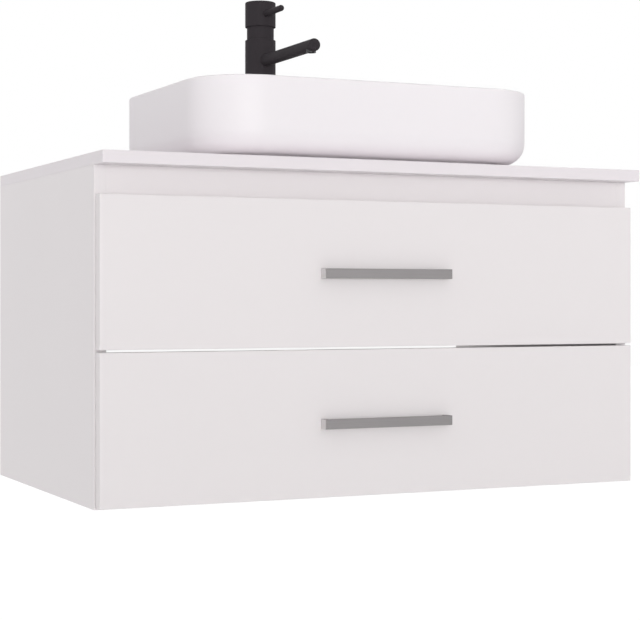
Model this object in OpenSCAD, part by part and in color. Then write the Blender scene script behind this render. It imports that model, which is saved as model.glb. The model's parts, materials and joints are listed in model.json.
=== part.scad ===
// Wall-hung bathroom vanity: a cabinet with two drawers, a worktop, a vessel basin, a tall
// single-lever mixer tap, a push-open waste and a bottle trap.
// Millimetres. X runs across the front, the front faces -Y and Z is up. The wall is the plane
// Y = 0, and the origin is the middle of the four wall screws.

/* [Cabinet] */
// Width of the cabinet and of the worktop
body_w = 800; // [700:10:1100]
// Height of the side panels, up to the underside of the worktop
body_h = 432; // [415:1:480]
// Depth of the space behind the drawer boxes, for the pipes
service_d = 66; // [60:1:100]
// Thickness of the cabinet's boards
board_t = 16; // [15:0.5:18]
// Thickness of the worktop
top_t = 16; // [12:1:28]
// How far the worktop reaches in front of the side panels
top_front = 35; // [24:1:50]
// Height of the rail behind the top edge of the upper drawer
rail_h = 60; // [50:1:64]
// Height of the upper rear rail
rear_rail_h = 100; // [96:1:110]
// Height of the lower rear rail
low_rail_h = 80; // [60:1:100]
// How far the rear rails and the bottom panel stand in from the wall
rail_inset = 12; // [10:0.5:14]

/* [Drawer fronts] */
// Thickness of the drawer fronts
front_t = 16; // [15:0.5:22]
// Gap between a drawer front and the cabinet behind it
front_clear = 1; // [1:0.5:4]
// How far the fronts stop short of the cabinet's sides
side_reveal = 2; // [0:0.5:4]
// How far the lower front stops short of the underside
bottom_reveal = 2; // [0:0.5:6]
// Gap between the two fronts
front_gap = 3; // [2:0.5:6]
// Height of the rail that shows above the upper front
rail_show = 37; // [25:1:42]

/* [Handles] */
// Length of a handle
handle_l = 190; // [120:2:300]
// Height of a handle's bar
handle_h = 13; // [10:0.5:20]
// How far a handle stands out from its front
handle_out = 15; // [13:0.5:30]
// Thickness of a handle's bar
handle_bar_t = 4.5; // [3:0.5:6]
// Width of a handle's legs
handle_leg_w = 8; // [7:0.5:14]
// How deep a handle's screw goes into its leg
handle_bite = 9; // [6:0.5:12]

/* [Drawer boxes] */
// Length of the drawer boxes and of their runners
box_len = 400; // [350:5:420]
// Height of the drawer boxes
box_h = 120; // [105:1:130]
// Thickness of the boards of the drawer boxes
box_t = 12; // [10:0.5:14]
// Height from the bottom edge of a front to that of its box
box_lift = 24; // [18:1:30]
// Thickness of the bottom sheet
sheet_t = 3; // [2.5:0.5:5]
// Depth of the groove that holds the bottom sheet
groove_deep = 4; // [3:0.5:6]
// Height from the bottom edge of a box to its groove
groove_up = 10; // [6:0.5:12]
// Clear width of the pipe recess in the upper drawer
recess_w = 140; // [100:2:200]
// Clear depth of the pipe recess in front of the waste's axis
recess_d = 48; // [38:1:70]
// Height of the corner screws in from a box's edges
corner_screw_in = 20; // [17:0.5:22]
// Distance of the front's fixing screws from the box's corners
front_screw_in = 60; // [30:1:100]

/* [Runners] */
// Gap between a drawer box and the cabinet's side, taken up by the runner
runner_gap = 13; // [12.5:0.1:14]
// Height of the cabinet member's section
runner_h = 45; // [42:0.5:48]
// Thickness of the runners' steel
runner_t = 1.2; // [1:0.1:1.4]
// Depth of the turned-in edges that the ball races run in
race_deep = 4; // [3.5:0.1:4.5]
// Space for the screw heads behind the middle member
head_space = 1.8; // [1.6:0.1:2]
// Height of the runners' centre line above a box's bottom edge
runner_up = 60; // [48:1:66]
// How far the runners stop short of the cabinet's front edge
runner_inset = 2; // [1:0.5:6]
// Distance of the first and last runner screw from the runner's ends
runner_screw_in = 37; // [20:1:60]

/* [Wall hanging] */
// Height from the worktop's underside down to the middle of the wall screws
hang_drop = 48; // [46:1:56]
// Width of a wall plate
plate_w = 40; // [30:1:44]
// Thickness of a wall plate
plate_t = 2; // [1.5:0.1:2.5]
// Distance between the two screw holes of a wall plate
plate_holes = 32; // [24:1:34]
// Radius of a wall plate's screw holes
plate_hole_r = 2.75; // [2:0.25:3.5]
// Length of a wall plate below its lower hole, and above its upper one up to the bend
plate_end = 7; // [6:0.5:8]
// Height of the upstanding lip on a wall plate
lip_h = 12; // [8:0.5:14]
// Space between that lip and the wall
lip_space = 5; // [4:0.5:5.5]
// Thickness of the hooks that hang on the wall plates
hook_t = 3; // [2:0.1:3.4]
// Width of the hooks
hook_w = 12; // [8:0.5:13]
// Width of a hanger's housing
hanger_w = 17; // [15:0.5:20]
// Length of a hanger's housing, front to back
hanger_l = 40; // [34:1:60]
// Width of the notch in the rear rail in front of each wall plate
notch_w = 48; // [46:1:60]
// Height of that notch
notch_h = 70; // [66:1:72]

/* [Board fittings] */
// Radius of the cam discs
cam_r = 7.5; // [6:0.25:7.5]
// Depth of the bores for the cam discs
cam_deep = 12.5; // [11:0.25:13.5]
// Distance of a cam's axis from the end of its board
cam_in = 34; // [24:1:34]
// Distance of the cams of the bottom panel from its front and rear edges
cam_edge = 64; // [40:1:90]
// Radius of the wooden dowels
dowel_r = 4; // [3:0.5:4]
// Length of the dowels
dowel_l = 30; // [25:1:35]
// How deep dowels and cam bolts go into a side panel
panel_bite = 10; // [8:0.5:12]
// Distance from a cam to the dowel beside it
dowel_off = 32; // [24:1:40]
// Length of the flat screws of runners, brackets and hangers
screw_l = 12; // [10:0.5:13]
// Radius of all the screws' shanks
screw_r = 2; // [1.5:0.25:2.25]
// Radius of the flat screws' heads
head_r = 3.6; // [3:0.1:4]
// Height of the flat screws' heads
head_h = 1.4; // [1:0.1:1.5]
// Length of a worktop bracket's legs
bracket_l = 18; // [16:1:24]
// Width of the worktop brackets
bracket_w = 16; // [12:1:24]
// Thickness of the worktop brackets
bracket_t = 2; // [1.5:0.1:3]

/* [Basin] */
// Width of the basin
basin_w = 508; // [420:2:600]
// Depth of the basin, front to back
basin_d = 390; // [340:2:396]
// Height of the basin
basin_h = 105.5; // [90:0.5:140]
// Radius of the basin's corners, seen from above
corner_r = 86; // [70:1:120]
// Radius of the basin's lower edge
lower_r = 30; // [24:1:42]
// Thickness of the basin's wall
wall_t = 12; // [8:0.5:16]
// Radius where the inner wall meets the basin's floor
inner_r = 30; // [15:1:40]
// Radius of the edges of the rim
rim_r = 2.5; // [1:0.1:3.5]
// Thickness of the basin's floor
floor_t = 15; // [12:0.5:20]
// Height of the basin's underside above its foot
under_h = 5; // [2:0.5:6]
// How far the foot stands in from the basin's side
foot_in = 44; // [42:1:50]
// Width of the foot that the basin stands on
foot_w = 14; // [10:0.5:20]
// Thickness of the sealant under the foot
seal_t = 1; // [0.5:0.1:2]
// Width of the sealant
seal_w = 8; // [5:0.5:9]
// Gap between the basin and the tap
tap_gap = 17.7; // [12:0.1:30]

/* [Waste and trap] */
// Radius of the hole in the basin
drain_r = 23; // [22.5:0.1:24]
// Radius of the waste's hole in the worktop
waste_hole_r = 25; // [23:0.5:28]
// Outer radius of the waste's threaded tube
waste_r = 20.9; // [19:0.1:21.5]
// Inner radius of that tube
waste_bore_r = 17.5; // [16.5:0.1:18.5]
// Radius of the flange in the basin
flange_r = 31.5; // [30:0.5:34]
// Thickness of the flange
flange_t = 2.5; // [1.5:0.1:4]
// Thickness of the upper gasket
gasket_t = 1.5; // [1:0.1:2.5]
// How far the tube reaches below the worktop
waste_below = 45; // [40:1:50]
// Radius of the plug's guide rod
plug_rod_r = 2.5; // [2:0.1:3.5]
// Height of the domed plug
plug_h = 5; // [3:0.2:8]
// Outer radius of the trap's pipes
pipe_r = 16; // [15:0.1:16.2]
// Wall of the trap's pipes
pipe_t = 1.8; // [1.2:0.1:2.4]
// Gap between the upper rear rail and the trap's outlet pipe
outlet_clear = 16; // [12:1:18]
// Radius of the trap's body
trap_r = 26; // [24:0.5:30]
// Wall of the trap's body and cup
trap_wall = 3; // [2:0.25:4]
// Depth of the cup below the outlet pipe's axis
cup_deep = 64; // [56:1:72]

/* [Tap] */
// Distance of the tap's axis from the wall
tap_y = 55.4; // [54:0.1:62]
// Radius of the tap's column
column_r = 23.9; // [21:0.1:24]
// Wall of the column's hollow stretch
column_wall = 3; // [2:0.25:5]
// Height of the column above the worktop
column_h = 221; // [180:1:260]
// Thickness of the ring under the column
base_t = 3; // [2:0.5:5]
// Height of the neck that shows between the column and the lever's cap
neck_show = 20.5; // [18:0.5:24]
// Radius of the neck
neck_r = 21.1; // [19:0.1:21.1]
// Wall of the neck's cover
neck_wall = 2; // [1.5:0.1:2.2]
// Radius of the lever's cap
cap_r = 23.9; // [23:0.1:25]
// Wall of the lever's cap
cap_wall = 1.2; // [1:0.05:1.2]
// Height of the lever's cap
cap_h = 39; // [38:0.5:46]
// Radius of the lever's pin
lever_r = 4.75; // [3:0.05:5]
// Reach of the lever's pin from the tap's axis
lever_l = 85; // [60:1:110]
// Radius of the spout's tube
spout_r = 9.3; // [8.5:0.1:10]
// Wall of the spout's tube
spout_wall = 1.5; // [1:0.1:1.6]
// Reach of the spout from the tap's axis
spout_l = 203; // [120:1:220]
// Height of the spout's axis below the top of the column
spout_drop = 33.5; // [33.5:0.5:60]
// Distance of the aerator's axis from the spout's end
aerator_in = 13; // [11:0.5:20]
// Radius of the aerator
aerator_r = 7.2; // [6:0.1:7.4]
// How far the aerator stands below the spout
aerator_out = 1.2; // [1:0.1:5]
// Radius of the cartridge
cartridge_r = 12.6; // [11:0.1:13]
// Radius of the tap's hole in the worktop
tap_hole_r = 17.5; // [16:0.5:18.5]
// Radius of the threaded inlets for the supply hoses
inlet_r = 4.5; // [4:0.1:5]
// Depth of those inlets
inlet_deep = 15; // [10:0.5:20]
// Distance of each inlet from the tap's axis
inlet_x = 9; // [8:0.25:9.5]
// Radius of the mounting stud
stud_r = 3.9; // [3:0.1:4]
// Distance of the stud behind the tap's axis
stud_y = 11; // [10:0.25:12]

/* [Fits] */
// Play of a screw, dowel or pipe all round in its hole
fit = 0.05; // [0.02:0.01:0.08]
// Play between members that slide along each other
slide_gap = 0.4; // [0.3:0.05:0.5]
// Play between boards that only meet
board_gap = 0.1; // [0.05:0.05:0.2]

/* [Hidden] */
$fn = 72;
far = 2000;                                     // longer than the whole part, for cuts
in_w = body_w / 2 - board_t;                    // inner face of the right side panel
body_d = box_len + service_d - front_clear;     // depth of the side panels
z_under = hang_drop;                            // underside of the worktop
z_top = z_under + top_t;                        // top of the worktop
z_bottom = z_under - body_h;                    // underside of the cabinet
front_back_y = -(body_d + front_clear);         // back of the drawer fronts
face_y = front_back_y - front_t;                // face of the drawer fronts
rail_y = -(rail_inset + board_t / 2);           // middle of the rear rails
front_rail_y = -(body_d - board_t / 2);         // middle of the front rail

front_w = body_w - 2 * side_reveal;
front_h = (body_h - bottom_reveal - front_gap - rail_show) / 2;
lower_front_z = z_bottom + bottom_reveal;
upper_front_z = lower_front_z + front_h + front_gap;
lower_box_z = lower_front_z + box_lift;
upper_box_z = upper_front_z + box_lift;
handle_screw_x = (handle_l - handle_leg_w) / 2;

box_x = in_w - runner_gap;                      // outer face of a drawer box's side
box_in_x = box_x - box_t;                       // its inner face
box_back_y = front_back_y + box_len;
box_screw_l = 2.5 * box_t;                      // screws through one box board into the next
runner_y = runner_inset - body_d;               // front end of the runners
middle_h = runner_h - 2 * (race_deep + slide_gap);
drawer_runner_h = middle_h - 2 * (race_deep + slide_gap);
runner_open = runner_gap - 2;                   // the runners' races stop 2 short of the box
middle_u = runner_t + head_space;               // back of the middle member's web

plate_x = in_w - 2 - plate_w / 2;               // middle of a wall plate
bend_z = plate_holes / 2 + plate_end;           // height of a wall plate's bend
lip_top_z = bend_z + plate_t + lip_h;
hook_z = lip_top_z + board_gap;                 // underside of a hook's bar
hook_x = in_w - hanger_w / 2;
hanger_back_y = -(rail_inset + board_t + 4);
hanger_low_z = -14;
hanger_high_z = z_under - 2;
hanger_flange = 3;                              // what is left under a hanger's screw heads

bracket_front_in = 84;                          // brackets in from the front and the rear edges
bracket_rear_in = 120;
bracket_ys = [bracket_front_in - body_d, -bracket_rear_in];
runner_screw_ys = [runner_y + runner_screw_in, runner_y + box_len / 2,
                   runner_y + box_len - runner_screw_in];
box_screw_ys = [front_back_y + runner_screw_in + 8, front_back_y + box_len / 2 + 8,
                box_back_y - runner_screw_in + 8];
runner_zs = [lower_box_z + runner_up, upper_box_z + runner_up];

bottom_z = z_bottom + board_t / 2;
low_rail_z = z_bottom + board_t;
upper_rail_z = z_under - rear_rail_h;
facing_down = 180;
facing_back = -90;
facing_front = 90;
rail_join_in = 24;                              // joints of the lower rail in from its two edges
// Each cam joint of the right side: its Y, its Z, and which way the cam's bore faces
cam_sites = [
    [-(body_d - cam_edge), bottom_z, facing_down],
    [-(rail_inset + cam_edge), bottom_z, facing_down],
    [front_rail_y, z_under - rail_h / 2 + 12, facing_back],
    [rail_y, low_rail_z + low_rail_h - rail_join_in, facing_front],
    [rail_y, upper_rail_z + 19, facing_front],
];
// Each dowel of the right side: its Y and its Z
dowel_sites = [
    [-(body_d - cam_edge - dowel_off), bottom_z],
    [-(rail_inset + cam_edge + dowel_off), bottom_z],
    [front_rail_y, z_under - rail_h / 2 - 14],
    [rail_y, low_rail_z + rail_join_in],
    [rail_y, upper_rail_z + 7],
];

tap_axis_y = -tap_y;
basin_back_y = tap_axis_y - column_r - tap_gap;
basin_y = basin_back_y - basin_d / 2;           // middle of the basin, and axis of the waste
basin_z = z_top + seal_t;
floor_z = basin_z + floor_t;
corner_x = basin_w / 2 - corner_r;
corner_y = basin_d / 2 - corner_r;

waste_end_z = z_under - waste_below;
guide_drop = 26;
guide_z = floor_z - guide_drop;                 // middle of the plug's guide
guide_h = 8;
plug_rod_end = 12;                              // how far the plug's rod reaches below that
lower_gasket_t = 3;
waste_nut_h = 8;
outlet_z = upper_rail_z - outlet_clear - pipe_r;
spigot_r = pipe_r + 4;
spigot_l = 16;
nut_wall = 5;
nut_l = 18;
collar_h = 10;                                  // the cup reaches this far over the trap's body
trap_half_h = spigot_r + nut_wall + collar_h + 1;
outlet_step = 0.5;                              // the outlet pipe is thinner inside the trap
outlet_y = basin_y + trap_r + nut_l + 1;        // where its full thickness starts

column_top = z_top + column_h;
pivot_z = column_top + neck_show;               // lever's lift axis, level with the cap's rim
spout_z = column_top - spout_drop;
foot_top = z_top + base_t + 18;                 // the column's foot, that the stud screws into
head_z = spout_z - spout_r - 11;                // underside of the column's solid head
lever_z = pivot_z + cap_h / 2 - 1;
chamber_deep = 26;                              // how deep the cartridge's chamber is
chamber_z = column_top - chamber_deep;
cartridge_top = column_top + 6;
spigot_top = column_top + 12;
turret_bore_r = 8.06;
stem_w = 8;
stem_top = pivot_z + cap_h - 6;
hub_z = pivot_z + neck_r + 1.2;
dome_hole_r = 13;
clamp_r = 23;
clamp_t = 3;
stud_below = 40;                                // how far the stud reaches below the worktop

// ---- Small helpers ----

// Box between two opposite corners
module block(low, high) translate(low) cube(high - low);

module rod_x(r, from, to) translate([from, 0, 0]) rotate([0, 90, 0]) cylinder(r = r, h = to - from);

module rod_y(r, from, to) translate([0, from, 0]) rotate([-90, 0, 0]) cylinder(r = r, h = to - from);

module rod_z(r, from, to) translate([0, 0, from]) cylinder(r = r, h = to - from);

// The right-hand piece and its mirror image on the left
module both_sides() {
    children();
    mirror([1, 0, 0]) children();
}

// Screw with its shank along -Z from the underside of its head
module screw(l, r = screw_r, hr = head_r, hh = head_h) {
    rod_z(r, -l, 0);
    rod_z(hr, 0, hh);
}

// Hole for that screw's shank
module screw_hole(l, r = screw_r) rod_z(r + fit, -l, 0.01);

// Turn +Z to point along +X, -X, +Y or -Y
module to_right() rotate([0, 90, 0]) children();

module to_left() rotate([0, -90, 0]) children();

module to_back() rotate([-90, 0, 0]) children();

module to_front() rotate([90, 0, 0]) children();

// ---- Cabinet ----

// Places of the cabinet's flat screws on the right side, heads towards the middle
module runner_screw_places()
    for (z = runner_zs, y = runner_screw_ys) translate([in_w - runner_t, y, z]) to_left() children();

module bracket_side_places()
    for (y = bracket_ys)
        translate([in_w - bracket_t, y, z_under - bracket_l * 0.6]) to_left() children();

module bracket_top_places()
    for (y = bracket_ys)
        translate([in_w - bracket_l * 0.6, y, z_under - bracket_t]) rotate([180, 0, 0]) children();

module hanger_screw_places()
    for (s = [[0.25, 0.25], [0.75, 0.5]])
        translate([in_w - hanger_flange, hanger_back_y - s[0] * hanger_l,
                   hanger_low_z + s[1] * (hook_z - hanger_low_z)])
            to_left() children();

// A cam joint's own axes: X along its bolt into the side panel, Z out of the cam's bore
module at_cam(site) translate([in_w, site[0], site[1]]) rotate([site[2], 0, 0]) children();

module cam_cuts(from, to)
    both_sides() for (i = [from:to]) {
        at_cam(cam_sites[i]) {
            rod_x(4, -cam_in, 0.01);
            translate([-cam_in, 0, 0]) rod_z(cam_r, board_t / 2 - cam_deep, board_t);
        }
        translate([in_w, dowel_sites[i][0], dowel_sites[i][1]]) rod_x(dowel_r + fit, -dowel_l, 0.01);
    }

module side_panel() {
    difference() {
        block([in_w, -body_d, z_bottom], [body_w / 2, 0, z_under]);
        for (site = cam_sites) at_cam(site) rod_x(2.5 + fit, -1, panel_bite + 0.5);
        for (site = dowel_sites)
            translate([in_w, site[0], site[1]]) rod_x(dowel_r + fit, -1, panel_bite);
        runner_screw_places() screw_hole(screw_l + 0.5);
        bracket_side_places() screw_hole(screw_l + 0.5);
        hanger_screw_places() screw_hole(screw_l + 0.5);
    }
}

module side_panel_right() color("gainsboro") side_panel();

module side_panel_left() color("gainsboro") mirror([1, 0, 0]) side_panel();

module bottom_panel()
    color("whitesmoke") difference() {
        block([-in_w, -body_d, z_bottom], [in_w, -rail_inset, z_bottom + board_t]);
        cam_cuts(0, 1);
    }

module front_rail()
    color("whitesmoke") difference() {
        block([-in_w, -body_d, z_under - rail_h], [in_w, board_t - body_d, z_under]);
        cam_cuts(2, 2);
    }

module rear_rail_lower()
    color("whitesmoke") difference() {
        block([-in_w, -rail_inset - board_t, low_rail_z], [in_w, -rail_inset, low_rail_z + low_rail_h]);
        cam_cuts(3, 3);
    }

module rear_rail_upper()
    color("whitesmoke") difference() {
        block([-in_w, -rail_inset - board_t, upper_rail_z], [in_w, -rail_inset, z_under]);
        both_sides()
            block([in_w - notch_w, -far / 2, z_under - notch_h], [in_w + 1, 0, z_under + 1]);
        cam_cuts(4, 4);
    }

module worktop()
    color("white") difference() {
        block([-body_w / 2, -body_d - top_front, z_under], [body_w / 2, 0, z_top]);
        translate([0, basin_y, 0]) rod_z(waste_hole_r, z_under - 1, z_top + 1);
        translate([0, tap_axis_y, 0]) rod_z(tap_hole_r, z_under - 1, z_top + 1);
        both_sides() bracket_top_places() screw_hole(screw_l);
    }

module cam_discs()
    color("silver") both_sides() for (site = cam_sites)
        at_cam(site) translate([-cam_in, 0, 0]) difference() {
            rod_z(cam_r - fit, board_t / 2 - cam_deep + fit, board_t / 2 - 0.2);
            block([-1, -3.6, -3.6], [cam_r + 1, 3.6, 3.6]);
        }

module cam_bolts()
    color("dimgray") both_sides() for (site = cam_sites) at_cam(site) {
        rod_x(2.5, 0, panel_bite);
        rod_x(3, 3.5 - cam_in, 0);
        rod_x(3.3, 0.5 - cam_in, 3.5 - cam_in);
    }

module dowels()
    color("burlywood") both_sides() for (site = dowel_sites)
        translate([in_w, site[0], site[1]]) rod_x(dowel_r, panel_bite - dowel_l, panel_bite - 0.2);

module worktop_brackets()
    color("silver") both_sides() for (y = bracket_ys) difference() {
        translate([0, y, 0]) union() {
            block([in_w - bracket_t, -bracket_w / 2, z_under - bracket_l], [in_w, bracket_w / 2, z_under]);
            block([in_w - bracket_l, -bracket_w / 2, z_under - bracket_t], [in_w, bracket_w / 2, z_under]);
        }
        bracket_side_places() screw_hole(screw_l);
        bracket_top_places() screw_hole(screw_l);
    }

module cabinet_screws()
    color("darkgray") both_sides() {
        runner_screw_places() screw(screw_l);
        bracket_side_places() screw(screw_l);
        bracket_top_places() screw(screw_l - 2);
        hanger_screw_places() screw(screw_l);
    }

// ---- Hanging on the wall ----

module hanger_housings()
    color("lightgray") both_sides() difference() {
        block([in_w - hanger_w, hanger_back_y - hanger_l, hanger_low_z],
              [in_w, hanger_back_y, hanger_high_z]);
        block([hook_x - hook_w / 2 - board_gap, hanger_back_y - hanger_l + 8, hook_z - board_gap],
              [hook_x + hook_w / 2 + board_gap, 1, hook_z + hook_t + board_gap]);
        hanger_screw_places() {
            screw_hole(screw_l);
            rod_z(head_r + 0.5, 0, hanger_w);
        }
    }

// Strip that leaves the housing, passes over the lip of the wall plate and turns down behind it
module hanger_hooks()
    color("silver") both_sides() {
        tongue_y = -(lip_space + hook_t) / 2;
        block([hook_x - hook_w / 2, hanger_back_y - hanger_l + 8.2, hook_z],
              [hook_x + hook_w / 2, tongue_y + hook_t, hook_z + hook_t]);
        block([hook_x - hook_w / 2, tongue_y, hook_z - lip_h + 4],
              [hook_x + hook_w / 2, tongue_y + hook_t, hook_z + hook_t]);
    }

// Flat plate on the wall whose top steps forward and stands up as a lip
module wall_plates()
    color("silver") both_sides() difference() {
        low = -plate_holes / 2 - plate_end;
        out = lip_space + plate_t;
        translate([plate_x - plate_w / 2, 0, 0]) union() {
            block([0, -plate_t, low], [plate_w, 0, bend_z + plate_t]);
            block([0, -out, bend_z], [plate_w, 0, bend_z + plate_t]);
            block([0, -out, bend_z], [plate_w, -lip_space, lip_top_z]);
        }
        for (z = [-plate_holes / 2, plate_holes / 2])
            translate([plate_x, 0, z]) rod_y(plate_hole_r, -out - 1, 1);
    }

// ---- Runners: sections drawn with X from the side panel towards the box ----

// Channel section from its web at u = web to u = open, turned in by the depth of the race
module channel(web, open, h, race) {
    translate([web, -h / 2]) square([runner_t, h]);
    for (s = [0, 1]) mirror([0, s]) {
        translate([web, h / 2 - runner_t]) square([open - web, runner_t]);
        if (race > 0) translate([open - runner_t, h / 2 - race]) square([runner_t, race]);
    }
}

module along_runner(l, z)
    translate([in_w, runner_y + l, z]) mirror([1, 0, 0]) rotate([90, 0, 0])
        linear_extrude(l) children();

module cabinet_runners()
    color("lightsteelblue") both_sides() difference() {
        for (z = runner_zs) along_runner(box_len, z) channel(0, runner_open, runner_h, race_deep);
        runner_screw_places() screw_hole(screw_l);
    }

module middle_runners(z)
    color("lightsteelblue") both_sides()
        along_runner(box_len - 10, z) channel(middle_u, runner_open, middle_h, race_deep);

module upper_middle_runners() middle_runners(upper_box_z + runner_up);

module lower_middle_runners() middle_runners(lower_box_z + runner_up);

// The drawer's member opens towards the side panel, and its web lies on the box
module drawer_runners(z)
    color("lightsteelblue") both_sides() difference() {
        along_runner(box_len - 4, z + runner_up)
            translate([runner_gap, 0]) mirror([1, 0])
                channel(0, runner_gap - middle_u - runner_t - 0.8, drawer_runner_h, 0);
        box_runner_screw_places(z) screw_hole(box_t);
    }

module upper_drawer_runners() drawer_runners(upper_box_z);

module lower_drawer_runners() drawer_runners(lower_box_z);

// ---- Drawers: each module takes the height of its box's bottom edge, or of its front ----

module box_runner_screw_places(z)
    for (y = box_screw_ys) translate([box_x + runner_t, y, z + runner_up]) to_right() children();

function corner_zs(z) = [z + corner_screw_in, z + box_h - corner_screw_in];

// Screws through the box's sides into its front and back boards
module corner_screw_places(z)
    for (y = [front_back_y + box_t / 2, box_back_y - box_t / 2], sz = corner_zs(z))
        translate([box_x - head_h, y, sz]) to_right() children();

// Screws from inside the box into the front
module front_screw_places(z)
    for (sz = corner_zs(z))
        translate([box_in_x - front_screw_in, front_back_y + box_t, sz]) to_back() children();

module handle_screw_places(front_z)
    translate([handle_screw_x, front_back_y + box_t, front_z + front_h / 2]) to_back() children();

module drawer_front(z, front_z)
    color("whitesmoke") difference() {
        block([-front_w / 2, face_y, front_z], [front_w / 2, front_back_y, front_z + front_h]);
        both_sides() {
            front_screw_places(z) screw_hole(box_t + 0.75 * front_t + 0.5);
            handle_screw_places(front_z) screw_hole(far / 4);
        }
    }

module upper_drawer_front() drawer_front(upper_box_z, upper_front_z);

module lower_drawer_front() drawer_front(lower_box_z, lower_front_z);

module drawer_handle(front_z)
    color("gray") translate([0, face_y, front_z + front_h / 2]) difference() {
        union() {
            block([-handle_l / 2, -handle_out, -handle_h / 2],
                  [handle_l / 2, handle_bar_t - handle_out, handle_h / 2]);
            both_sides()
                block([handle_l / 2 - handle_leg_w, -handle_out, -handle_h / 2],
                      [handle_l / 2, 0, handle_h / 2]);
        }
        both_sides() translate([handle_screw_x, 0, 0]) rod_y(screw_r + fit, -handle_bite - 0.5, 1);
    }

module upper_drawer_handle() drawer_handle(upper_front_z);

module lower_drawer_handle() drawer_handle(lower_front_z);

// What the bottom sheet's groove takes out of the boards round it
module sheet_groove(z, low, high)
    block([low[0] - groove_deep, low[1] - groove_deep, z + groove_up],
          [high[0] + groove_deep, high[1] + groove_deep, z + groove_up + sheet_t + board_gap]);

module box_groove(z)
    sheet_groove(z, [-box_in_x, front_back_y + box_t], [box_in_x, box_back_y - box_t]);

module drawer_sides(z)
    color("white") both_sides() difference() {
        block([box_in_x, front_back_y, z], [box_x, box_back_y, z + box_h]);
        box_groove(z);
        box_runner_screw_places(z) screw_hole(box_t);
        corner_screw_places(z) {
            screw_hole(far / 4);
            rod_z(head_r + fit, 0, head_h + 1);
        }
    }

module upper_drawer_sides() drawer_sides(upper_box_z);

module lower_drawer_sides() drawer_sides(lower_box_z);

// Front and back boards of a box, before any recess is cut
module drawer_end_boards(z, front_z) {
    difference() {
        union() {
            for (y = [front_back_y, box_back_y - box_t])
                block([board_gap - box_in_x, y, z], [box_in_x - board_gap, y + box_t, z + box_h]);
        }
        box_groove(z);
        both_sides() {
            corner_screw_places(z) screw_hole(box_screw_l + 0.5);
            front_screw_places(z) screw_hole(far / 4);
            handle_screw_places(front_z) screw_hole(far / 4);
        }
    }
}

module lower_drawer_ends() color("white") drawer_end_boards(lower_box_z, lower_front_z);

recess_x = recess_w / 2;                        // clear half width of the pipe recess
recess_y = basin_y - recess_d;                  // its front, clear

// Screws through the recess's side walls into the back boards
module recess_back_places(z)
    for (sz = corner_zs(z))
        translate([recess_x, box_back_y - box_t / 2, sz]) to_left() children();

// Screws through the recess's front wall into its side walls
module recess_front_places(z)
    for (sz = corner_zs(z))
        translate([recess_x + box_t / 2, recess_y - box_t, sz]) to_front() children();

module upper_drawer_ends()
    color("white") difference() {
        drawer_end_boards(upper_box_z, upper_front_z);
        block([-recess_x - box_t - board_gap, recess_y, upper_box_z - 1],
              [recess_x + box_t + board_gap, box_back_y + 1, upper_box_z + box_h + 1]);
        both_sides() recess_back_places(upper_box_z) screw_hole(box_screw_l + 0.5);
    }

// Three boards round the trap, open at the back
module upper_drawer_recess() {
    z = upper_box_z;
    groove_low = z + groove_up;
    groove_high = groove_low + sheet_t + board_gap;
    color("white") difference() {
        union() {
            block([-recess_x - box_t, recess_y - box_t, z], [recess_x + box_t, recess_y, z + box_h]);
            both_sides()
                block([recess_x, recess_y + board_gap, z], [recess_x + box_t, box_back_y, z + box_h]);
        }
        block([-far, recess_y - box_t - 1, groove_low],
              [far, recess_y - box_t + groove_deep, groove_high]);
        both_sides() {
            block([recess_x + box_t - groove_deep, recess_y - box_t - 1, groove_low],
                  [far, box_back_y - box_t + groove_deep, groove_high]);
            recess_back_places(z) screw_hole(box_screw_l);
            recess_front_places(z) screw_hole(box_screw_l + 0.5);
        }
    }
}

// The bottom sheet lies in its grooves, with a little play at the edges
module drawer_sheet(z) {
    reach = groove_deep - 2 * board_gap;
    block([-box_in_x - reach, front_back_y + box_t - reach, z + groove_up],
          [box_in_x + reach, box_back_y - box_t + reach, z + groove_up + sheet_t]);
}

module upper_drawer_bottom()
    color("white") difference() {
        drawer_sheet(upper_box_z);
        inner = box_t - groove_deep + 2 * board_gap;
        block([-recess_x - inner, recess_y - inner, upper_box_z],
              [recess_x + inner, 0, upper_box_z + box_h]);
    }

module lower_drawer_bottom() color("white") drawer_sheet(lower_box_z);

module drawer_screws(z, front_z)
    both_sides() {
        box_runner_screw_places(z) screw(runner_t + 0.7 * box_t);
        corner_screw_places(z) screw(box_screw_l);
        front_screw_places(z) screw(box_t + 0.75 * front_t);
        handle_screw_places(front_z) screw(box_t + front_t + handle_bite);
    }

module lower_drawer_screws() color("darkgray") drawer_screws(lower_box_z, lower_front_z);

module upper_drawer_screws()
    color("darkgray") {
        drawer_screws(upper_box_z, upper_front_z);
        both_sides() {
            recess_back_places(upper_box_z) screw(box_screw_l);
            recess_front_places(upper_box_z) screw(box_screw_l);
        }
    }

// ---- Basin ----

// Sweep of a section, drawn with X outwards from the corner's centre and Y up, round the plan
module round_the_basin() {
    for (q = [0:3]) {
        half_x = q % 2 == 0 ? corner_x : corner_y;
        half_y = q % 2 == 0 ? corner_y : corner_x;
        rotate([0, 0, 90 * q]) {
            translate([half_x, half_y, 0]) rotate_extrude(angle = 90) children();
            translate([half_x, half_y, 0]) rotate([90, 0, 0]) linear_extrude(2 * half_y) children();
        }
    }
}

// Corner of a square at the origin, less the round edge of radius r that it leaves
module edge_waste(r)
    difference() {
        translate([-r, -r]) square(r + 1);
        translate([-r, -r]) circle(r);
        translate([-r - 1, -r - 1]) square([1.001, r + 3]);
        translate([-r - 1, -r - 1]) square([r + 3, 1.001]);
    }

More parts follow.
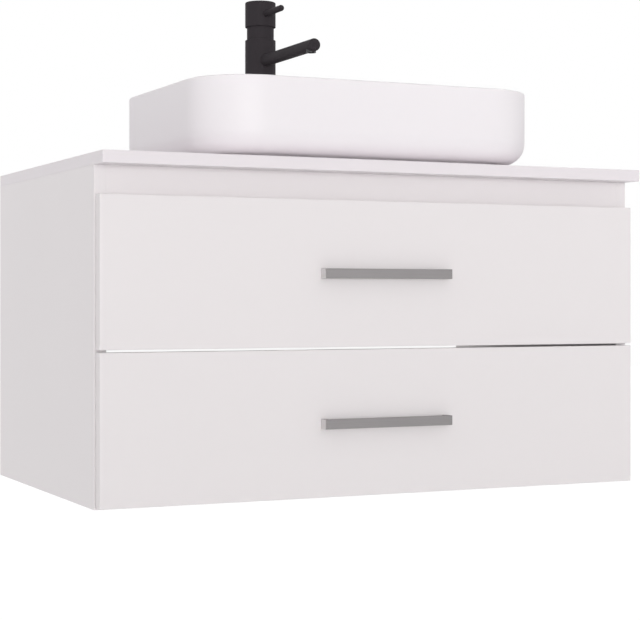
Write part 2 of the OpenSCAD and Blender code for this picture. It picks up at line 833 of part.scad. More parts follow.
// Half of the basin's wall and floor, from the corner's centre outwards
module basin_section()
    difference() {
        square([corner_r, basin_h]);
        translate([corner_r, basin_h]) edge_waste(rim_r);
        translate([corner_r, under_h]) mirror([0, 1]) edge_waste(lower_r);
        translate([corner_r - foot_in, -1]) square([foot_in + 1, under_h + 1]);
        difference() {
            translate([-1, floor_t]) square([corner_r - wall_t + 1, basin_h]);
            translate([corner_r - wall_t, floor_t]) mirror([0, 1]) edge_waste(inner_r);
        }
        translate([corner_r - wall_t, basin_h]) mirror([1, 0]) edge_waste(rim_r);
        translate([-1, -1]) square([corner_r - foot_in - foot_w + 1, under_h + 1]);
    }

module basin()
    color("white") translate([0, basin_y, basin_z]) difference() {
        union() {
            round_the_basin() basin_section();
            block([-corner_x, -corner_y, under_h], [corner_x, corner_y, floor_t]);
        }
        rod_z(drain_r, -1, floor_t + 1);
    }

module basin_seal()
    color("lightgray") translate([0, basin_y, z_top]) round_the_basin()
        translate([corner_r - foot_in - (foot_w + seal_w) / 2, 0]) square([seal_w, seal_t]);

// ---- Waste and trap, drawn round their own axis ----

module at_waste() translate([0, basin_y, 0]) children();

module ring(inner, outer, from, to)
    difference() {
        rod_z(outer, from, to);
        rod_z(inner, from - 1, to + 1);
    }

module waste_body()
    color("silver") at_waste() {
        flange_z = floor_z + gasket_t;
        difference() {
            union() {
                ring(waste_bore_r, flange_r, flange_z, flange_z + flange_t);
                ring(waste_bore_r, waste_r, waste_end_z, flange_z + 0.5);
                intersection() {
                    rod_z(waste_bore_r + 1, guide_z - guide_h / 2, guide_z + guide_h / 2);
                    union() {
                        rod_z(plug_rod_r + 3, guide_z - guide_h / 2, guide_z + guide_h / 2);
                        for (a = [90, 210, 330])
                            rotate([0, 0, a]) block([0, -1.5, guide_z - 3], [far, 1.5, guide_z + 3]);
                    }
                }
            }
            rod_z(plug_rod_r + 1.5 * fit, guide_z - guide_h, guide_z + guide_h);
        }
    }

module waste_gaskets()
    color("dimgray") at_waste() {
        ring(waste_r + fit, flange_r - 2, floor_z, floor_z + gasket_t);
        ring(waste_r + fit, waste_hole_r + 8, z_under - lower_gasket_t, z_under);
    }

// Round nut with four finger lugs
module waste_nut()
    color("silver") at_waste() {
        low = z_under - lower_gasket_t - waste_nut_h;
        difference() {
            union() {
                rod_z(waste_r + 6, low, low + waste_nut_h);
                for (a = [45, 135])
                    rotate([0, 0, a])
                        block([-waste_r - 12, -4, low], [waste_r + 12, 4, low + waste_nut_h]);
            }
            rod_z(waste_r + fit, low - 1, low + waste_nut_h + 1);
        }
    }

// Domed plug on a rod that slides in the waste's guide, shown closed
module waste_plug()
    color("silver") at_waste() {
        seat_z = floor_z + gasket_t + flange_t + 0.3;
        dome_r = (pow(flange_r - 1, 2) + pow(plug_h - 2, 2)) / (2 * (plug_h - 2));
        rod_z(flange_r - 1, seat_z, seat_z + 2);
        intersection() {
            translate([0, 0, seat_z + plug_h - dome_r]) sphere(dome_r, $fn = 200);
            rod_z(flange_r - 1, seat_z + 1.9, seat_z + plug_h + 1);
        }
        rod_z(plug_rod_r, guide_z - plug_rod_end, seat_z + 0.5);
    }

module trap_inlet_pipe()
    color("white") at_waste() {
        difference() {
            union() {
                rod_z(waste_r - 0.5, waste_end_z - 2, waste_end_z);
                rod_z(pipe_r, outlet_z - cup_deep + 19, waste_end_z - 1);
            }
            rod_z(pipe_r - pipe_t, outlet_z - cup_deep, waste_end_z + 1);
        }
    }

// Union nut: threaded mouth upwards from z = 0, hole for the pipe in its floor
module union_nut(mouth_r, l, through_r = pipe_r)
    difference() {
        rod_z(mouth_r + nut_wall, 0, l);
        rod_z(mouth_r + fit, 3, l + 1);
        rod_z(through_r + fit, -1, 4);
    }

trap_top = outlet_z + trap_half_h;              // shoulder of the trap's body

module trap_body()
    color("white") at_waste() difference() {
        union() {
            rod_z(trap_r, outlet_z - trap_half_h, trap_top);
            rod_z(spigot_r, trap_top - 1, trap_top + spigot_l);
            translate([0, 0, outlet_z]) rod_y(spigot_r, 0, trap_r + spigot_l);
        }
        rod_z(trap_r - trap_wall, outlet_z - trap_half_h - 1, trap_top - trap_wall);
        rod_z(pipe_r + fit, trap_top - trap_wall - 1, trap_top + spigot_l + 1);
        translate([0, 0, outlet_z]) rod_y(pipe_r - outlet_step + fit, pipe_r + 2, trap_r + spigot_l + 1);
    }

module trap_cup()
    color("white") at_waste() difference() {
        union() {
            rod_z(trap_r + trap_wall, outlet_z - cup_deep, outlet_z - trap_half_h);
            rod_z(trap_r + trap_wall + 2, outlet_z - trap_half_h - 4, outlet_z - trap_half_h + collar_h);
        }
        rod_z(trap_r + fit, outlet_z - cup_deep + trap_wall, outlet_z);
    }

module trap_nuts()
    color("white") at_waste() {
        translate([0, 0, waste_end_z - 2 - 3]) union_nut(waste_r, 14);
        translate([0, 0, trap_top + nut_l + 1]) rotate([180, 0, 0]) union_nut(spigot_r, nut_l);
        translate([0, outlet_y - basin_y, outlet_z]) to_front()
            union_nut(spigot_r, nut_l, pipe_r - outlet_step);
    }

module trap_outlet_pipe()
    color("white") translate([0, 0, outlet_z]) difference() {
        union() {
            rod_y(pipe_r - outlet_step, basin_y + trap_r - trap_wall, outlet_y + 1);
            rod_y(pipe_r, outlet_y, 0);
        }
        rod_y(pipe_r - pipe_t, basin_y, 1);
    }

// ---- Tap, drawn round its own axis ----

module at_tap() translate([0, tap_axis_y, 0]) children();

module tap_column()
    color("#383538") at_tap() difference() {
        union() {
            rod_z(column_r, z_top + base_t, column_top);
            rod_z(neck_r - neck_wall - fit, column_top - 1, spigot_top);
        }
        rod_z(cartridge_r + fit, chamber_z, spigot_top + 1);
        rod_z(cartridge_r + 2.9, cartridge_top - 2, spigot_top + 1);
        rod_z(column_r - column_wall, foot_top, head_z);
        // each hose passes the foot and screws into the head, under its waterway to the cartridge
        both_sides() translate([inlet_x, 0, 0]) {
            rod_z(inlet_r + 1, z_top, foot_top + 1);
            rod_z(inlet_r, head_z - 1, head_z + inlet_deep);
            rod_z(3, head_z, chamber_z + 1);
        }
        translate([0, stud_y, 0]) rod_z(stud_r + fit, z_top, foot_top - 3);
        // outlet waterway and the socket of the spout
        translate([0, -8, 0]) rod_z(3, spout_z - 3, chamber_z + 1);
        translate([0, 0, spout_z]) rod_y(5, -column_r, -8);
        translate([0, 0, spout_z]) rod_y(spout_r + fit, -column_r - 1, -17);
    }

module tap_spout()
    color("#383538") at_tap() translate([0, 0, spout_z]) difference() {
        union() {
            rod_y(spout_r, 1 - spout_l, -17);
            translate([0, -spout_l, 0]) to_back() cylinder(r1 = spout_r - 1, r2 = spout_r, h = 1);
        }
        rod_y(spout_r - spout_wall, 4 - spout_l, -16);
        translate([0, aerator_in - spout_l, 0]) rod_z(aerator_r + fit, -far / 10, 0);
    }

module aerator()
    color("#383538") at_tap() translate([0, aerator_in - spout_l, spout_z]) difference() {
        rod_z(aerator_r, -spout_r - aerator_out, -1);
        rod_z(aerator_r - 1.5, -spout_r - aerator_out - 1, -spout_r);
        for (a = [0:45:315])
            rotate([0, 0, a]) translate([aerator_r * 0.45, 0, 0]) rod_z(0.9, -far / 10, 0);
    }

module tap_base_ring()
    color("dimgray") at_tap() ring(tap_hole_r, column_r + 1.5, z_top, z_top + base_t);

module tap_stud()
    color("silver") at_tap() translate([0, stud_y, 0]) rod_z(stud_r, z_under - stud_below, foot_top - 3.5);

// Horseshoe under the worktop, open to the front for the hoses
module tap_clamp()
    color("silver") at_tap() difference() {
        rod_z(clamp_r, z_under - clamp_t, z_under);
        block([-inlet_x - 6, -far, z_under - far], [inlet_x + 6, stud_y - stud_r - 1.6, z_under + 1]);
        translate([0, stud_y, 0]) rod_z(stud_r + 0.2, z_under - far, z_under + 1);
    }

module tap_nut()
    color("silver") at_tap() translate([0, stud_y, z_under - clamp_t - 6.5]) difference() {
        cylinder(r = 7.5, h = 6.5, $fn = 6);
        rod_z(stud_r + fit, -1, 8);
    }

// Sleeve over the cartridge's nut; its domed top is centred on the lever's lift axis
module neck_cover()
    color("#383538") at_tap() difference() {
        rotate_extrude() {
            translate([neck_r - neck_wall, column_top]) square([neck_wall, neck_show]);
            translate([0, pivot_z]) intersection() {
                difference() {
                    circle(neck_r);
                    circle(neck_r - neck_wall);
                }
                square(neck_r + 1);
            }
        }
        rod_z(dome_hole_r, pivot_z + 1, pivot_z + neck_r + 1);
    }

module cartridge()
    color("ivory") at_tap() difference() {
        rod_z(cartridge_r, chamber_z, cartridge_top);
        rod_z(turret_bore_r, cartridge_top - 14, cartridge_top + 1);
        both_sides() translate([inlet_x, 0, 0]) rod_z(2.5, chamber_z - 1, chamber_z + 8);
        translate([0, -8, 0]) rod_z(2.5, chamber_z - 1, chamber_z + 8);
    }

module cartridge_nut()
    color("darkgoldenrod") at_tap()
        ring(turret_bore_r + 1.4, cartridge_r + 2.85, cartridge_top, spigot_top);

// Turning head of the cartridge, with the slot that the stem tilts in
module cartridge_turret()
    color("ivory") at_tap() difference() {
        union() {
            rod_z(turret_bore_r - 0.06, cartridge_top - 13.7, spigot_top + 1);
            rod_z(11, spigot_top + 0.3, pivot_z + 6);
        }
        block([-stem_w / 2 - 0.15, -7.2, pivot_z - 7.5], [stem_w / 2 + 0.15, 7.2, pivot_z + 7]);
        translate([0, 0, pivot_z]) rod_x(1.56, -12, 12);
    }

module lever_stem()
    color("silver") at_tap() {
        block([-stem_w / 2, -stem_w / 2, pivot_z - 6], [stem_w / 2, stem_w / 2, stem_top]);
        translate([0, 0, pivot_z]) rod_x(1.5, -9, 9);
    }

module lever_cap()
    color("#383538") at_tap() difference() {
        union() {
            difference() {
                union() {
                    rod_z(cap_r, pivot_z, pivot_z + cap_h - 1);
                    translate([0, 0, pivot_z + cap_h - 1]) cylinder(r1 = cap_r, r2 = cap_r - 1, h = 1);
                }
                rod_z(cap_r - cap_wall, pivot_z - 1, pivot_z + cap_h - 3);
            }
            rod_z(9, hub_z, pivot_z + cap_h - 2);
            // boss that holds the pin, clear of the neck's dome
            translate([0, 0, lever_z]) rod_y(lever_r + 1.75, cap_wall / 2 - cap_r, -neck_r + 2.8);
        }
        block([-stem_w / 2 - fit, -stem_w / 2 - fit, hub_z - 1],
              [stem_w / 2 + fit, stem_w / 2 + fit, stem_top + 0.5]);
        translate([0, 0, lever_z]) rod_y(lever_r + fit, -far, -10);
        translate([0, 0, stem_top - 6]) rod_y(2.5, 0, cap_r + 1);
    }

// Pin with a round end, screwed into the cap
module lever_pin()
    color("#383538") at_tap() translate([0, 0, lever_z]) to_front() rotate_extrude() {
        translate([0, neck_r - 2.8]) square([lever_r, lever_l - lever_r - neck_r + 2.8]);
        translate([0, lever_l - lever_r]) intersection() {
            circle(lever_r);
            square(lever_r);
        }
    }

module lever_grub_screw()
    color("darkgray") at_tap() translate([0, 0, stem_top - 6]) difference() {
        rod_y(2.5 - fit, stem_w / 2 + fit, stem_w / 2 + 8);
        translate([0, stem_w / 2 + 5, 0]) to_back() cylinder(r = 1.4, h = 4, $fn = 6);
    }

side_panel_left();
side_panel_right();
bottom_panel();
front_rail();
rear_rail_upper();
rear_rail_lower();
worktop();
cam_discs();
cam_bolts();
dowels();
worktop_brackets();
cabinet_screws();
hanger_housings();
hanger_hooks();
wall_plates();
cabinet_runners();
upper_middle_runners();
lower_middle_runners();
upper_drawer_front();
upper_drawer_handle();
upper_drawer_sides();
upper_drawer_ends();
upper_drawer_recess();
upper_drawer_bottom();
upper_drawer_runners();
upper_drawer_screws();
lower_drawer_front();
lower_drawer_handle();
lower_drawer_sides();
lower_drawer_ends();
lower_drawer_bottom();
lower_drawer_runners();
lower_drawer_screws();
basin();
basin_seal();
waste_body();
waste_gaskets();
waste_nut();
waste_plug();
trap_inlet_pipe();
trap_body();
trap_cup();
trap_nuts();
trap_outlet_pipe();
tap_column();
tap_spout();
aerator();
tap_base_ring();
tap_stud();
tap_clamp();
tap_nut();
neck_cover();
cartridge();
cartridge_nut();
cartridge_turret();
lever_stem();
lever_cap();
lever_pin();
lever_grub_screw();
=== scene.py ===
import json
import math

import bmesh
import bpy
from bpy.props import FloatProperty, FloatVectorProperty, IntProperty, PointerProperty
from bpy.types import Operator, Panel, PropertyGroup
from mathutils import Matrix, Vector


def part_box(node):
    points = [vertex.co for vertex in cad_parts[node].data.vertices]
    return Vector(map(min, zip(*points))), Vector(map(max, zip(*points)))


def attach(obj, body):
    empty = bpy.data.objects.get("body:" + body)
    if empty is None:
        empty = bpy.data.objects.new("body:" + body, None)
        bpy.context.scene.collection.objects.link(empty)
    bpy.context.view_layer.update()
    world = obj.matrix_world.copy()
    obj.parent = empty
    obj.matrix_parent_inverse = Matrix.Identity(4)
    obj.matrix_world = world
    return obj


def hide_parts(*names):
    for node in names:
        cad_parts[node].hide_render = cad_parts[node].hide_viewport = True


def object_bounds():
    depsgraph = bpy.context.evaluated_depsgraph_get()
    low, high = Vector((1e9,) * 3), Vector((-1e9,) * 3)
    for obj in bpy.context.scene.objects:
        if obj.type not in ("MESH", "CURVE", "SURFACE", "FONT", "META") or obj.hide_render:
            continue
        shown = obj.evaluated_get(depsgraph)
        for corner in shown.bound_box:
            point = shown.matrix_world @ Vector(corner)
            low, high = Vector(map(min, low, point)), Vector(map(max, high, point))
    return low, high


bl_info = {
    "name": "Wall-hung vanity",
    "version": (1, 0, 0),
    "blender": (4, 5, 0),
    "location": "View3D > Sidebar > Vanity",
    "description": "Builds a wall-hung bathroom vanity round its packed CAD frame",
    "category": "Object",
}

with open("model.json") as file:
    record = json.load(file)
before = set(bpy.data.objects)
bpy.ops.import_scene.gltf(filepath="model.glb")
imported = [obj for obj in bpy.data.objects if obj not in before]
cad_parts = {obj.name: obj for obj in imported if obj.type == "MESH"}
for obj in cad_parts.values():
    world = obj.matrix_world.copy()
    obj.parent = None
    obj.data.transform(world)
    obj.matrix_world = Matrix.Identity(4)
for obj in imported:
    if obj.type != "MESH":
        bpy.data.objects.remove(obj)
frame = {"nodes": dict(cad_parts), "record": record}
CAD_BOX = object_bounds()

MM = 0.001
BODY_OF = {n: b for b, nodes in frame["record"]["behaviour"]["bodies"].items() for n in nodes}
SLOT_OF = {p["node"]: p["material_slot"] for p in frame["record"]["subparts"]}
MERGE = 2e-6  # corners closer than this become one
LEVEL = 0.1 * MM  # points closer than this lie at one height
BORE = 0.3 * MM  # a face deeper in its solid than this is a bore's or a groove's
FLAT_ANGLE = math.radians(0.5)  # triangles that turn less than this make one face
SMOOTH_ANGLE = math.radians(32)  # an edge that turns further than this stays sharp
ROUND_ANGLE = math.radians(40)  # an edge that turns further than this can be rounded
STRAIGHT = 1e-3  # two steps whose directions add up to less than this go straight on


# ---- Node trees ----

def sum_of(operation):
    """A Python operator that adds that Math node."""
    return lambda self, other: self.math(operation, self, other)


class Socket:
    """One output of a node. A sum written with it adds Math nodes."""

    def __init__(self, tree, output):
        self.tree = tree
        self.output = output

    def out(self, key):
        """Another output of the same node."""
        return Socket(self.tree, self.output.node.outputs[key])

    def math(self, operation, *values):
        return self.tree.node("ShaderNodeMath", dict(enumerate(values)), operation=operation)

    __add__ = __radd__ = sum_of("ADD")
    __mul__ = __rmul__ = sum_of("MULTIPLY")
    __sub__ = sum_of("SUBTRACT")
    __gt__ = sum_of("GREATER_THAN")
    __lt__ = sum_of("LESS_THAN")

    def __rsub__(self, other):
        return self.math("SUBTRACT", other, self)


class Tree:
    """A node tree that is filled through one method."""

    def __init__(self, tree):
        self.tree = tree
        self.tree.nodes.clear()

    def node(self, kind, sockets=None, **settings):
        """Adds a node of that kind. Its settings come first, then its sockets' values or links."""
        made = self.tree.nodes.new(kind)
        for name, value in settings.items():
            setattr(made, name, value)
        for key, value in (sockets or {}).items():
            links = value if isinstance(value, list) else [value]
            for one in reversed(links):
                if isinstance(one, Socket):
                    self.tree.links.new(one.output, made.inputs[key])
                else:
                    made.inputs[key].default_value = one
        if made.outputs:
            return Socket(self, made.outputs[0])

    def seen(self):
        """1 for what the camera sees, also as a reflection, and 0 for what only gives light."""
        path = self.node("ShaderNodeLightPath")
        return path.out("Is Camera Ray") + path.out("Is Glossy Ray")


class Growth(Tree):
    """A geometry tree with named inputs."""

    def __init__(self, name):
        super().__init__(bpy.data.node_groups.new(name, "GeometryNodeTree"))
        self.tree.interface.new_socket("Geometry", in_out="OUTPUT",
                                       socket_type="NodeSocketGeometry")
        self.asked = self.tree.nodes.new("NodeGroupInput")
        [self.seed] = self.ask("Geometry", kind="Geometry")

    def ask(self, *names, kind="Float"):
        """Named inputs of the tree."""
        for name in names:
            self.tree.interface.new_socket(name, in_out="INPUT", socket_type="NodeSocket" + kind)
        return [Socket(self, self.asked.outputs[name]) for name in names]

    def vector(self, x, y, z):
        return self.node("ShaderNodeCombineXYZ", {"X": x, "Y": y, "Z": z})

    def moved(self, geometry, x=0.0, y=0.0, z=0.0, turn=None):
        sockets = {"Geometry": geometry, "Translation": self.vector(x, y, z)}
        if turn:
            sockets["Rotation"] = turn
        return self.node("GeometryNodeTransform", sockets)

    def cylinder(self, radius, depth, sides):
        """Cylinder with its middle at the origin."""
        return self.node("GeometryNodeMeshCylinder",
                         {"Vertices": sides, "Radius": radius, "Depth": depth})

    def cone(self, low, top, depth, sides):
        """Cone of two radii that stands on the origin."""
        return self.node("GeometryNodeMeshCone", {
            "Vertices": sides, "Radius Top": top, "Radius Bottom": low, "Depth": depth})

    def circle(self, radius, sides):
        return self.node("GeometryNodeCurvePrimitiveCircle",
                         {"Resolution": sides, "Radius": radius})

    def block(self, x, y, z):
        return self.node("GeometryNodeMeshCube", {"Size": self.vector(x, y, z)})

    def cut(self, body, *tools):
        """A body less its tools."""
        return self.node("GeometryNodeMeshBoolean", {0: body, 1: list(tools)},
                         operation="DIFFERENCE", solver="EXACT")

    def joined(self, *parts):
        return self.node("GeometryNodeJoinGeometry", {0: list(parts)})

    def give(self, geometry):
        """Ends the tree: real geometry, with the material it asks for."""
        [material] = self.ask("Material", kind="Material")
        real = self.node("GeometryNodeRealizeInstances", {0: geometry})
        painted = self.node("GeometryNodeSetMaterial", {"Geometry": real, "Material": material})
        self.node("NodeGroupOutput", {0: painted})
        return self.tree


def grown(tree, seed, kind, values):
    """The mesh of one finish that a tree makes from a seed object, which is then removed."""
    modifier = seed.modifiers.new(tree.name, "NODES")
    modifier.node_group = tree
    names = {s.name: s.identifier for s in tree.interface.items_tree if s.in_out == "INPUT"}
    for name, value in {"Material": finish(kind), **values}.items():
        modifier[names[name]] = value
    depsgraph = bpy.context.evaluated_depsgraph_get()
    mesh = bpy.data.meshes.new_from_object(seed.evaluated_get(depsgraph))
    if not mesh.polygons:
        raise RuntimeError(f"the tree {tree.name} made no faces")
    bpy.data.objects.remove(seed)
    return mesh


def seed_points(places):
    """A seed object: one point for each (place, out, along)."""
    mesh = bpy.data.meshes.new("seed")
    mesh.from_pydata([p[0] for p in places], [], [])
    for name, which in (("out", 1), ("along", 2)):
        held = mesh.attributes.new(name, "FLOAT_VECTOR", "POINT")
        for point, place in zip(held.data, places):
            point.vector = place[which]
    return linked("seed", mesh)


# ---- Finishes ----

class Finish(Tree):
    """A material whose shader is a Principled BSDF, with patterns on Object coordinates."""

    def __init__(self, name, uniform=None):
        self.material = bpy.data.materials.new(name)
        self.material.use_nodes = True
        super().__init__(self.material.node_tree)
        self.place = self.node("ShaderNodeTexCoord").out("Object")
        self.uniform = uniform or {}

    def scaled(self, x, y, z):
        return self.node("ShaderNodeMapping", {"Vector": self.place, "Scale": (x, y, z)})

    def noise(self, scale=1.0, detail=2.0, place=None, roughness=0.5):
        return self.node("ShaderNodeTexNoise", {
            "Vector": place or self.place, "Scale": scale, "Detail": detail,
            "Roughness": roughness})

    def cells(self, scale, place=None):
        """Cells with one random number each."""
        made = self.node("ShaderNodeTexVoronoi", {"Vector": place or self.place, "Scale": scale})
        return self.node("ShaderNodeSeparateColor", {0: made.out("Color")})

    def blend(self, factor, low, high):
        """Colour between low and high."""
        return self.node("ShaderNodeMix", {0: factor, 6: (*low, 1.0), 7: (*high, 1.0)},
                         data_type="RGBA").out(2)

    def bump(self, height, distance, strength=0.5):
        return self.node("ShaderNodeBump",
                         {"Height": height, "Distance": distance, "Strength": strength})

    def done(self, color, roughness, normal=None, **varying):
        """Links what changes over the surface, and ends the material."""
        sockets = {**self.uniform, "Base Color": color, "Roughness": roughness, **varying}
        if normal:
            sockets["Normal"] = normal
        shader = self.node("ShaderNodeBsdfPrincipled", sockets)
        self.node("ShaderNodeOutputMaterial", {"Surface": shader})
        return self.material


def shade(color, by):
    """A colour made lighter or darker."""
    return tuple(min(1.0, c * by) for c in color)


def melamine(name, tone, roughness=0.4):
    """Decor paper pressed on board: a faint leathery grain and a cloudy tone."""
    f = Finish(name, {"Specular IOR Level": 0.45})
    grain = f.noise(950.0, 3.0, roughness=0.6)
    pores = f.noise(2600.0, 1.0)
    cloud = f.noise(6.0)
    return f.done(f.blend(cloud, shade(tone, 0.982), tone), roughness + 0.1 * grain,
                  f.bump(0.7 * grain + 0.3 * pores, 0.05 * MM, 0.35))


def lacquer(name, tone, roughness=0.3):
    """Sprayed satin lacquer: long soft ripples with a fine nib, and a thin clear coat."""
    f = Finish(name, {"Specular IOR Level": 0.25, "Coat Roughness": 0.18, "Coat IOR": 1.45})
    peel = f.noise(260.0)
    nib = f.noise(1400.0, 1.0)
    cloud = f.noise(4.0)
    return f.done(f.blend(cloud, shade(tone, 0.988), tone), roughness + 0.08 * nib,
                  f.bump(peel + 0.25 * nib, 0.06 * MM, 0.3),
                  **{"Coat Weight": 0.02 + 0.04 * cloud})


def edge_band(name, tone):
    """Plastic edge band: drawn lines along the edge and a slightly glossier face."""
    f = Finish(name)
    lines = f.noise(1.0, 2.0, f.scaled(40.0, 40.0, 1100.0))
    cloud = f.noise(12.0, 1.0)
    return f.done(f.blend(cloud, shade(tone, 0.972), shade(tone, 0.99)), 0.3 + 0.12 * lines,
                  f.bump(lines, 0.04 * MM, 0.3))


def chipboard(name):
    """Raw pressed chips, as bored holes and grooves show them."""
    f = Finish(name)
    chips = f.cells(420.0, f.scaled(1.0, 1.0, 2.2))
    dust = f.noise(1600.0)
    color = f.blend(chips * 0.8 + 0.2 * dust, (0.2, 0.12, 0.06), (0.56, 0.4, 0.24))
    return f.done(color, 0.78 + 0.15 * dust, f.bump(chips + 0.4 * dust, 0.25 * MM, 0.7))


def brushed_metal(name, dark, light, stretch, roughness=0.34, spread=0.16):
    """Bare or plated metal with fine parallel lines along one axis."""
    f = Finish(name)
    lines = f.noise(1.0, 3.0, f.scaled(*stretch), 0.65)
    patches = f.noise(14.0)
    return f.done(f.blend(0.75 * lines + 0.25 * patches, dark, light), roughness + spread * lines,
                  f.bump(lines, 0.03 * MM, 0.4), Metallic=0.92 + 0.08 * lines)


def zinc_plate(name):
    """Bright zinc with a faint crystal pattern and a cool and warm cast."""
    f = Finish(name)
    crystals = f.cells(260.0)
    cast = f.noise(22.0)
    scuffs = f.noise(900.0, 3.0, roughness=0.7)
    color = f.blend(0.5 * crystals + 0.5 * cast, (0.5, 0.52, 0.56), (0.7, 0.69, 0.65))
    return f.done(color, 0.26 + 0.1 * crystals + 0.12 * scuffs, f.bump(scuffs, 0.02 * MM, 0.4),
                  Metallic=0.97 + 0.03 * cast)


def powder_coat(name, tone):
    """Matt stoved powder: a tight pebbled skin that goes a little glossier where it is rubbed."""
    f = Finish(name, {"Specular IOR Level": 0.06})
    pebble = f.noise(1500.0, roughness=0.6)
    rubbed = f.noise(18.0)
    return f.done(f.blend(pebble, shade(tone, 0.75), shade(tone, 1.35)), 0.52 + 0.1 * rubbed,
                  f.bump(pebble, 0.07 * MM, 0.55))


PAINTED_FILL_TOP, PAINTED_FILL_END = 100 * MM, 64 * MM  # heights between which the glaze is painted whiter, painted light that lifts the shade low on the basin


def glaze(name, tone):
    """Fired glaze: a slow ripple, a few pinholes, and a band towards the bottom painted whiter,
    painted light that lifts the shade there.
    """
    f = Finish(name, {"Specular IOR Level": 0.25})
    ripple = f.noise(9.0, 1.0)
    cloud = f.noise(3.0)
    pinholes = f.noise(520.0, 1.0) > 0.83
    height = f.node("ShaderNodeSeparateXYZ", {0: f.place}).out("Z")
    # painted light: the base colour gets up to 27% whiter towards the basin's bottom, to lift the
    # shade there
    run = f.node("ShaderNodeMapRange", {"Value": height, "From Min": PAINTED_FILL_TOP, "From Max": PAINTED_FILL_END},
                 interpolation_type="SMOOTHSTEP")
    return f.done(f.blend(0.12 * cloud + 0.88 * run, tone, shade(tone, 1.27)),
                  0.38 + 0.06 * cloud + 0.2 * pinholes,
                  f.bump(ripple * 0.8 - 0.1 * pinholes, 0.5 * MM, 0.12))


def chrome(name):
    """Polished chrome with faint smudges and water spots."""
    f = Finish(name)
    smudge = f.noise(35.0, 3.0)
    spots = f.cells(700.0) > 0.97
    return f.done(f.blend(smudge, (0.78, 0.79, 0.81), (0.9, 0.91, 0.92)),
                  0.04 + 0.07 * smudge + 0.12 * spots, f.bump(smudge, 0.02 * MM, 0.2),
                  Metallic=1.0 - 0.02 * spots)


def moulded(name, tone, roughness, grain=1300.0, deep=0.05):
    """Moulded plastic or rubber: the mould's fine spark texture and a slow change of tone."""
    f = Finish(name)
    spark = f.noise(grain, 2.0, roughness=0.65)
    flow = f.noise(1.0, 2.0, f.scaled(9.0, 9.0, 30.0))
    return f.done(f.blend(0.3 * spark + 0.7 * flow, shade(tone, 0.94), shade(tone, 1.03)),
                  roughness + 0.1 * spark, f.bump(spark, deep * MM, 0.5))


def beech(name):
    """Raw beech along X: fine grain lines with short dark flecks."""
    f = Finish(name)
    grain = f.noise(1.0, 3.0, f.scaled(25.0, 700.0, 700.0), 0.6)
    flecks = f.cells(1.0, f.scaled(260.0, 900.0, 900.0)) > 0.8
    color = f.blend(grain - 0.25 * flecks, (0.42, 0.25, 0.13), (0.72, 0.52, 0.33))
    return f.done(color, 0.6 + 0.15 * grain, f.bump(grain, 0.08 * MM, 0.5))


def turned_brass(name):
    """Brass with the rings that a lathe leaves, dulled here and there."""
    f = Finish(name)
    rings = f.noise(1.0, 1.0, f.scaled(15.0, 15.0, 2600.0))
    dull = f.noise(60.0)
    return f.done(f.blend(dull, (0.62, 0.42, 0.16), (0.86, 0.66, 0.3)), 0.18 + 0.15 * rings
                  + 0.12 * dull, f.bump(rings, 0.03 * MM, 0.5), Metallic=0.95 + 0.05 * rings)


FLOOR_GLOW = 1.1  # strength of the glow that makes the floor white
GLOW_HIDDEN, GLOW_SEEN = 0.2, 0.65  # its share on every ray, and what a seen ray adds


def painted_floor(name, tone):
    """Pale floor that looks as white as the backdrop, in reflections as well."""
    f = Finish(name, {"Specular IOR Level": 0.2})
    cloud = f.noise(1.5)
    paint = f.node("ShaderNodeBsdfPrincipled", {
        **f.uniform, "Base Color": f.blend(cloud, shade(tone, 0.99), tone), "Roughness": 0.7})
    glow = f.node("ShaderNodeEmission", {"Strength": FLOOR_GLOW})
    both = f.node("ShaderNodeMixShader", {
        0: GLOW_HIDDEN + f.seen() * GLOW_SEEN, 1: paint, 2: glow})
    f.node("ShaderNodeOutputMaterial", {"Surface": both})
    return f.material


WHITE_BOARD = (0.729, 0.694, 0.703)
WHITE_TOP = (0.694, 0.651, 0.675)
WHITE_FRONT = (0.706, 0.673, 0.680)
FINISHES = {
    "laminated_board": (melamine, WHITE_BOARD),
    "edge_band": (edge_band, WHITE_BOARD),
    "top_band": (edge_band, WHITE_TOP),
    "front_lacquer": (lacquer, WHITE_FRONT),
    # painted light: the worktop's faces are 10% lighter than its edge band of the same laminate,
    # standing in for stronger light from above
    "worktop_board": (melamine, shade(WHITE_TOP, 1.1), 0.34),
    "board_core": (chipboard,),
    "dowel_wood": (beech,),
    "zinc_steel": (zinc_plate,),
    "runner_steel": (brushed_metal, (0.48, 0.5, 0.53), (0.68, 0.7, 0.73), (700.0, 6.0, 700.0),
                     0.26, 0.14),
    "brushed_nickel": (brushed_metal, (0.187, 0.176, 0.178), (0.279, 0.267, 0.268),
                       (9.0, 1300.0, 1300.0)),
    # painted highlight: the handles' end faces get a nickel about three times lighter than the
    # bar's, in place of the bright reflection on their ends
    "cut_nickel": (brushed_metal, (0.6, 0.585, 0.585), (0.74, 0.72, 0.72),
                   (1300.0, 900.0, 20.0), 0.4),
    "grey_plastic": (moulded, (0.5, 0.5, 0.5), 0.42),
    "white_glaze": (glaze, (0.733, 0.702, 0.722)),
    "sealant": (moulded, (0.66, 0.66, 0.65), 0.32, 90.0, 0.2),
    "chrome_plate": (chrome,),
    "black_rubber": (moulded, (0.016, 0.016, 0.017), 0.68, 900.0, 0.1),
    "trap_plastic": (moulded, (0.78, 0.78, 0.76), 0.2, 500.0, 0.02),
    "black_coat": (powder_coat, (0.03, 0.0257, 0.029)),
    "black_plastic": (moulded, (0.012, 0.012, 0.013), 0.4),
    "cartridge_plastic": (moulded, (0.72, 0.68, 0.56), 0.35),
    "raw_brass": (turned_brass,),
}
mixed = {}


def finish(name):
    """The material of that name, mixed when it is first asked for."""
    if name not in mixed:
        mix, *values = FINISHES[name]
        mixed[name] = mix(name, *values)
    return mixed[name]


# ---- Pieces ----

